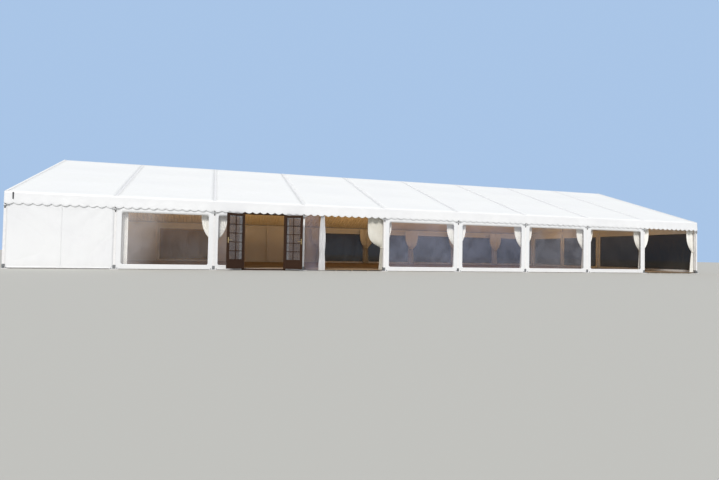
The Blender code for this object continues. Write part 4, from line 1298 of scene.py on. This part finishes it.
# %% Door leaf
DOOR_LOW, DOOR_HIGH = -6.53, -5.17
HINGE_Y = -6.009
OPEN_ANGLE = math.radians(150.0)
HANDS = (("left", 1), ("right", -1))
LEAF_NEAR, LEAF_FAR = 0.006, 0.677
LEAF_FRONT, LEAF_BACK = 0.009, 0.053
GLASS_FRONT, GLASS_BACK = 0.0280, 0.0340
LIGHT_LOW, LIGHT_HIGH = LEAF_NEAR + 0.075, LEAF_FAR - 0.075
LIGHT_MIDDLE = (LIGHT_LOW + LIGHT_HIGH) / 2
LIGHT_FOOT, LIGHT_TOP = 0.356, 1.825
LIGHT_ROWS = 5


def leaf_turn(sign):
    x = DOOR_LOW if sign > 0 else DOOR_HIGH
    return Matrix.Translation((x, HINGE_Y, 0)) @ Matrix.Rotation(-sign * OPEN_ANGLE, 4, "Z")


print("leaf width:", round(LEAF_FAR - LEAF_NEAR, 3), "open by", round(math.degrees(OPEN_ANGLE)), "degrees")

# %% [markdown]
# The glazing bars, beads, raised panel and drip rail are drawn on the shut leaf, both faces at once,
# and then turned out with it. Each bar is given by its range along x, y and z and by its bevel.

# %% Door joinery
BAR_HALF, BAR_END = 0.012, 0.0125
CROSS_HALF = 0.011
BEAD, BEAD_END = 0.012, 0.0125
EASE = 0.004
PANEL_RISE = 0.005


def glazing_bars():
    upright = (LIGHT_MIDDLE - BAR_HALF, LIGHT_MIDDLE + BAR_HALF)
    for y in ((0.0125, GLASS_FRONT - GAP), (GLASS_BACK + GAP, 0.0495)):
        yield (upright, y, (LIGHT_FOOT + GAP, LIGHT_TOP - GAP), EASE)
        for row in range(1, LIGHT_ROWS):
            z = LIGHT_FOOT + (LIGHT_TOP - LIGHT_FOOT) * row / LIGHT_ROWS
            for x in ((LIGHT_LOW + GAP, LIGHT_MIDDLE - BAR_END), (LIGHT_MIDDLE + BAR_END, LIGHT_HIGH - GAP)):
                yield (x, y, (z - CROSS_HALF, z + CROSS_HALF), EASE)


def glazing_beads():
    between = (LIGHT_LOW + BEAD_END, LIGHT_HIGH - BEAD_END)
    for y in ((0.0105, 0.0240), (0.0380, 0.0515)):
        for x in ((LIGHT_LOW + GAP, LIGHT_LOW + BEAD), (LIGHT_HIGH - BEAD, LIGHT_HIGH - GAP)):
            yield (x, y, (LIGHT_FOOT + GAP, LIGHT_TOP - GAP), EASE)
        for z in ((LIGHT_FOOT + GAP, LIGHT_FOOT + BEAD), (LIGHT_TOP - BEAD, LIGHT_TOP - GAP)):
            yield (between, y, z, EASE)


def panels():
    for y in ((LEAF_FRONT - PANEL_RISE, LEAF_FRONT), (LEAF_BACK, LEAF_BACK + PANEL_RISE)):
        yield ((LIGHT_LOW, LIGHT_HIGH), y, (0.105, 0.315), 0.0045)
    yield ((LEAF_NEAR + 0.010, LEAF_FAR - 0.006), (LEAF_FRONT - 0.014, LEAF_FRONT), (0.062, 0.084), 0.005)


for hand, sign in HANDS:
    joinery = {"glazing_bars": glazing_bars(), "glazing_beads": glazing_beads(), "panels": panels()}
    for kind, bars in joinery.items():
        bm = bmesh.new()
        for (x_low, x_high), (y_low, y_high), (z_low, z_high), bevel in bars:
            add_bar(bm, (sign * x_low, y_low, z_low), (sign * x_high, y_high, z_high), bevel, leaf_turn(sign))
        make_piece("%s_door_%s" % (hand, kind), bm, STAINED_AND_SHADED_WOOD, body=hand + "_door")
print("glazed lights a leaf:", 2 * LIGHT_ROWS)

# %% [markdown]
# The frame has a stop for the leaves to close on and a metal strip over its threshold. Both lie
# behind the shut leaves, so the doors still swing out freely. Each handle plate gets its two
# screws and a key cylinder.

# %% Door fittings
STOP_FRONT, STOP_BACK = -5.950, -5.925
SILL_FRONT, SILL_BACK = -5.924, -5.862
STOP_REACH = 0.014
STOP_LOW, STOP_HIGH = DOOR_LOW + STOP_REACH, DOOR_HIGH - STOP_REACH
HEAD_FOOT = 1.906
SILL_TOP = FLOOR_TOP + 0.004
stops = bmesh.new()
for x_low, x_high, foot in ((DOOR_LOW, STOP_LOW, FLOOR_TOP), (STOP_HIGH, DOOR_HIGH, FLOOR_TOP),
                            (STOP_LOW, STOP_HIGH, HEAD_FOOT - STOP_REACH)):
    add_bar(stops, (x_low, STOP_FRONT, foot), (x_high, STOP_BACK, HEAD_FOOT), 0.002)
make_piece("door_stops", stops, STAINED_AND_SHADED_WOOD)
sill = bmesh.new()
add_bar(sill, (STOP_LOW, SILL_FRONT, FLOOR_TOP), (STOP_HIGH, SILL_BACK, SILL_TOP), 0.0015)
make_piece("door_threshold_strip", sill, ALLOY)

HANDLE_X = LEAF_FAR - 0.038
PLATE_RISE = 0.0063
# height, how far it stands out, radius, segments and radius of its tip
PLATE_ITEMS = ((0.925, 0.0022, 0.0042, 12, 0.003), (1.075, 0.0022, 0.0042, 12, 0.003),
               (0.945, 0.006, 0.0085, 16, None))
for hand, sign in HANDS:
    small = bmesh.new()
    for face_y, out in ((LEAF_FRONT - PLATE_RISE, -1), (LEAF_BACK + PLATE_RISE, 1)):
        for z, rise, radius, segments, tip in PLATE_ITEMS:
            add_rod(small, (sign * HANDLE_X, face_y - out * 0.001, z),
                    (sign * HANDLE_X, face_y + out * rise, z), radius, segments, tip)
    bmesh.ops.transform(small, matrix=leaf_turn(sign), verts=small.verts)
    make_piece(hand + "_door_plate_screws", small, BRASS, body=hand + "_door")
print("door fittings made")

# %% [markdown]
# Each leg stands in a galvanised shoe bolted through its sides and front, on a plate that two pegs
# hold to the ground.

# %% Leg shoes and pegs
SHOE_TOP, SHOE_LIP_TOP = 0.150, 0.135
SHOE_SHEET = 0.005
SHOE_HALF = 0.042
SHOE_BACK = HALF_SPAN - LEG_DEPTH + 0.004
SHOE_FRONT = {"front": HALF_SPAN - 0.012, "rear": HALF_SPAN - 0.016}
LIP_NEAR, LIP_OUT = HALF_SPAN + 0.0025, HALF_SPAN + 0.0055
SIDE_BOLTS, SIDE_BOLT_RADIUS, SIDE_BOLT_LENGTH = (0.060, 0.115), 0.011, 0.009
LIP_BOLTS, LIP_BOLT_RADIUS = (0.045, 0.105), 0.010
LIP_BOLT_NEAR, LIP_BOLT_OUT = HALF_SPAN + 0.005, HALF_SPAN + 0.013
BOLT_Y = 5.945
PEG_OFFSET, PEG_OUT, PEG_INSET = 0.085, 0.034, 0.020
PEG_NECK, PEG_TOP = PLATE_TOP + 0.026, PLATE_TOP + 0.038
PEG_RADIUS, PEG_HEAD_RADIUS, PEG_TIP_RADIUS = 0.011, 0.019, 0.013
for side, sign in SIDES:
    shoes, bolts, pegs = bmesh.new(), bmesh.new(), bmesh.new()
    for x in FRAMES:
        for face in (-1, 1):
            bolt_x = x + face * (LEG_WIDTH / 2 + 0.004)
            if abs(bolt_x) > END_FACE:
                continue
            add_bar(shoes, (x + face * LEG_WIDTH / 2, sign * SHOE_FRONT[side], PLATE_TOP),
                    (x + face * (LEG_WIDTH / 2 + SHOE_SHEET), sign * SHOE_BACK, SHOE_TOP), 0.001)
            for z in SIDE_BOLTS:
                start, end = ((bolt_x + out, sign * BOLT_Y, z) for out in (0.0, face * SIDE_BOLT_LENGTH))
                add_rod(bolts, start, end, SIDE_BOLT_RADIUS, 6)
        add_bar(shoes, (max(-END_FACE, x - SHOE_HALF), sign * LIP_NEAR, PLATE_TOP),
                (min(END_FACE, x + SHOE_HALF), sign * LIP_OUT, SHOE_LIP_TOP), 0.001)
        for z in LIP_BOLTS:
            start, end = ((x, sign * y, z) for y in (LIP_BOLT_NEAR, LIP_BOLT_OUT))
            add_rod(bolts, start, end, LIP_BOLT_RADIUS, 6)
        for offset in (-PEG_OFFSET, PEG_OFFSET):
            peg_x = max(-END_FACE + PEG_INSET, min(END_FACE - PEG_INSET, x + offset))
            peg_y = sign * (HALF_SPAN + PEG_OUT)
            foot, neck, top = ((peg_x, peg_y, z) for z in (PLATE_TOP, PEG_NECK, PEG_TOP))
            add_rod(pegs, foot, neck, PEG_RADIUS)
            add_rod(pegs, neck, top, PEG_HEAD_RADIUS, tip=PEG_TIP_RADIUS)
    add_to(bolts, shoes)
    make_piece(side + "_leg_shoes", bolts, STEEL)
    make_piece(side + "_ground_pegs", pegs, STEEL)
print("legs fitted:", 2 * len(FRAMES))

# %% [markdown]
# On the outer face of a front leg two ribs show where the wall beads slide. A ratchet strap comes
# down from the eave to pull the roof sheet tight, and its two arms reach to the sheets beside it.
# One short strap hangs at the corner of the plain end.

# %% Ribs, straps and ratchets
STRAP_TOP = VALANCE_FOOT + 0.10
STRAP_FOOT = 1.800
STRAP_HALF, STRAP_FACES = 0.018, (0.0050, 0.0028)
RIB_OFFSET, RIB_HALF, RIB_OUT = 0.022, 0.005, 0.0025
RIB_FOOT = PLATE_TOP + 0.010
CORNER_STRAP_X, CORNER_STRAP_HALF = -HALF_LENGTH + 0.20, 0.020
CORNER_STRAP = (0.0125, 0.0105, 2.030, 2.285)
SPINDLE_HALF, SPINDLE_RADIUS = 0.033, 0.010
SPINDLE_Y, SPINDLE_Z = -HALF_SPAN - 0.016, 1.905
# from and to along x, how far its two faces stand out, foot, top and bevel
RATCHET_BARS = ((-0.026, 0.026, 0.024, 0.0052, 1.868, 1.898, 0.003),
                (-0.030, -0.026, 0.022, 0.006, 1.850, 1.915, 0.001),
                (0.026, 0.030, 0.022, 0.006, 1.850, 1.915, 0.001),
                (-0.115, -0.036, 0.009, 0.0035, 1.878, 1.912, 0.001),
                (0.036, 0.115, 0.009, 0.0035, 1.878, 1.912, 0.001))
ribs, spindles, ratchets, straps = bmesh.new(), bmesh.new(), bmesh.new(), bmesh.new()


def front_bar(bm, x_low, x_high, out, near, foot, top, bevel):
    """A bar on the front; out and near are how far its two faces stand before the legs."""
    add_bar(bm, (x_low, -HALF_SPAN - out, foot), (x_high, -HALF_SPAN - near, top), bevel)


for x in FRAMES:
    for rib in (x - RIB_OFFSET, x + RIB_OFFSET):
        front_bar(ribs, rib - RIB_HALF, rib + RIB_HALF, RIB_OUT, 0.0, RIB_FOOT, STRAP_TOP, 0.001)
    front_bar(straps, x - STRAP_HALF, x + STRAP_HALF, *STRAP_FACES, STRAP_FOOT, STRAP_TOP, 0.0005)
    for low, high, *place in RATCHET_BARS:
        if x + low > -END_FACE and x + high < END_FACE:
            front_bar(ratchets, x + low, x + high, *place)
    start, end = ((x + reach, SPINDLE_Y, SPINDLE_Z) for reach in (-SPINDLE_HALF, SPINDLE_HALF))
    add_rod(spindles, start, end, SPINDLE_RADIUS, 10)
front_bar(straps, CORNER_STRAP_X - CORNER_STRAP_HALF, CORNER_STRAP_X + CORNER_STRAP_HALF, *CORNER_STRAP,
          0.0005)
add_to(spindles, ratchets)
make_piece("front_leg_ribs", ribs, COATED)
make_piece("front_ratchet_straps", straps, WEBBING)
make_piece("front_ratchets", spindles, BRIGHT_STEEL)
print("front legs strapped:", len(FRAMES))

# %% [markdown]
# A plain pale floor and a pale backdrop colour set the tent off. Only the camera sees the backdrop
# colour. What lights the tent from all round is a whiter glow.

# %% Stage and backdrop
GROUND_HALF = 120.0
GROUND_COLOUR = (0.50, 0.49, 0.455, 1.0)
BACKDROP_COLOUR = (0.40, 0.56, 0.80, 1.0)
GLOW_COLOUR, GLOW_STRENGTH = (0.86, 0.92, 1.0, 1.0), 0.55

ground_bm = bmesh.new()
bmesh.ops.create_grid(ground_bm, x_segments=1, y_segments=1, size=GROUND_HALF)
ground_mesh = bpy.data.meshes.new("ground")
ground_bm.to_mesh(ground_mesh)
ground_bm.free()
ground = bpy.data.objects.new("ground", ground_mesh)
ground.location.z = -0.001
bpy.context.scene.collection.objects.link(ground)
paint = bpy.data.materials.new("pale_ground")
paint.use_nodes = True
tree = paint.node_tree
connect(tree, tree.nodes["Principled BSDF"], {"Base Color": GROUND_COLOUR, "Roughness": 0.9})
ground_mesh.materials.append(paint)
ground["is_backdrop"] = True

world = bpy.data.worlds.new("studio")
world.use_nodes = True
tree = world.node_tree
backdrop = connect(tree, tree.nodes["Background"], {"Color": BACKDROP_COLOUR, "Strength": 1.0})
glow = add(tree, "Background", {"Color": GLOW_COLOUR, "Strength": GLOW_STRENGTH})
seen = add(tree, "LightPath").outputs["Is Camera Ray"]
both = add(tree, "MixShader", {0: seen, 1: glow.outputs[0], 2: backdrop.outputs[0]})
tree.links.new(both.outputs[0], tree.nodes["World Output"].inputs["Surface"])
bpy.context.scene.world = world
print("stage set")

# %% [markdown]
# The main light stands high to the front left and a weak one at the front right softens its
# shadows. Both are told by where they come from. Warm lamps in three rows, one to a bay, light the
# hall and its lining, and they are dimmer in the bays beside the plain end.

# %% Lights
def add_light(name, kind, energy, colour, **settings):
    lamp = bpy.data.lights.new(name, kind)
    lamp.energy = energy
    lamp.color = colour
    for label, value in settings.items():
        setattr(lamp, label, value)
    holder = bpy.data.objects.new(name, lamp)
    bpy.context.scene.collection.objects.link(holder)
    return holder


SUNS = (("key_light", -24, 43, 2.42, 12, (1.0, 0.975, 0.94)),
        ("fill_light", 60, 30, 0.40, 60, (0.94, 0.97, 1.0)))
for name, azimuth, elevation, energy, angle, colour in SUNS:
    holder = add_light(name, "SUN", energy, colour, angle=math.radians(angle))
    turn, lift = math.radians(azimuth), math.radians(elevation)
    source = Vector((math.sin(turn) * math.cos(lift), -math.cos(turn) * math.cos(lift), math.sin(lift)))
    holder.rotation_mode = "QUATERNION"
    holder.rotation_quaternion = source.to_track_quat("Z", "Y")

LAMP_COLOUR = (1.0, 0.60, 0.25)
LAMP_ROWS = {"hall": (0.0, 1.30, 8.5, 0.15), "rear_up": (3.6, 0.90, 11.5, 0.90),
             "front_up": (-3.4, 0.90, 6.0, 0.70)}
DIM_BAYS = 3
for row, (y, z, energy, dim_share) in LAMP_ROWS.items():
    kind, soft = ("POINT", {"shadow_soft_size": 0.30}) if row == "hall" else ("AREA", {"size": 1.2})
    for bay in range(BAYS):
        strength = energy * (dim_share if bay < DIM_BAYS else 1.0)
        holder = add_light("%s_lamp_%d" % (row, bay + 1), kind, strength, LAMP_COLOUR, **soft)
        holder.location = (FRAMES[bay] + BAY / 2, y, z)
        if kind == "AREA":
            holder.rotation_euler.x = math.pi
        holder.visible_camera = False
        holder.visible_glossy = False

bpy.context.scene.view_settings.view_transform = "Standard"
print("lights set:", len(bpy.data.lights))

# %% [markdown]
# Last, the size of the dressed tent is printed, and set beside the size of the solids.

# %% Size and finish
low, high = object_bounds()
{"cad": [list(cad_low), list(cad_high)], "visual": [list(low), list(high)]}
print("dressed size:", [round(v, 3) for v in high - low])
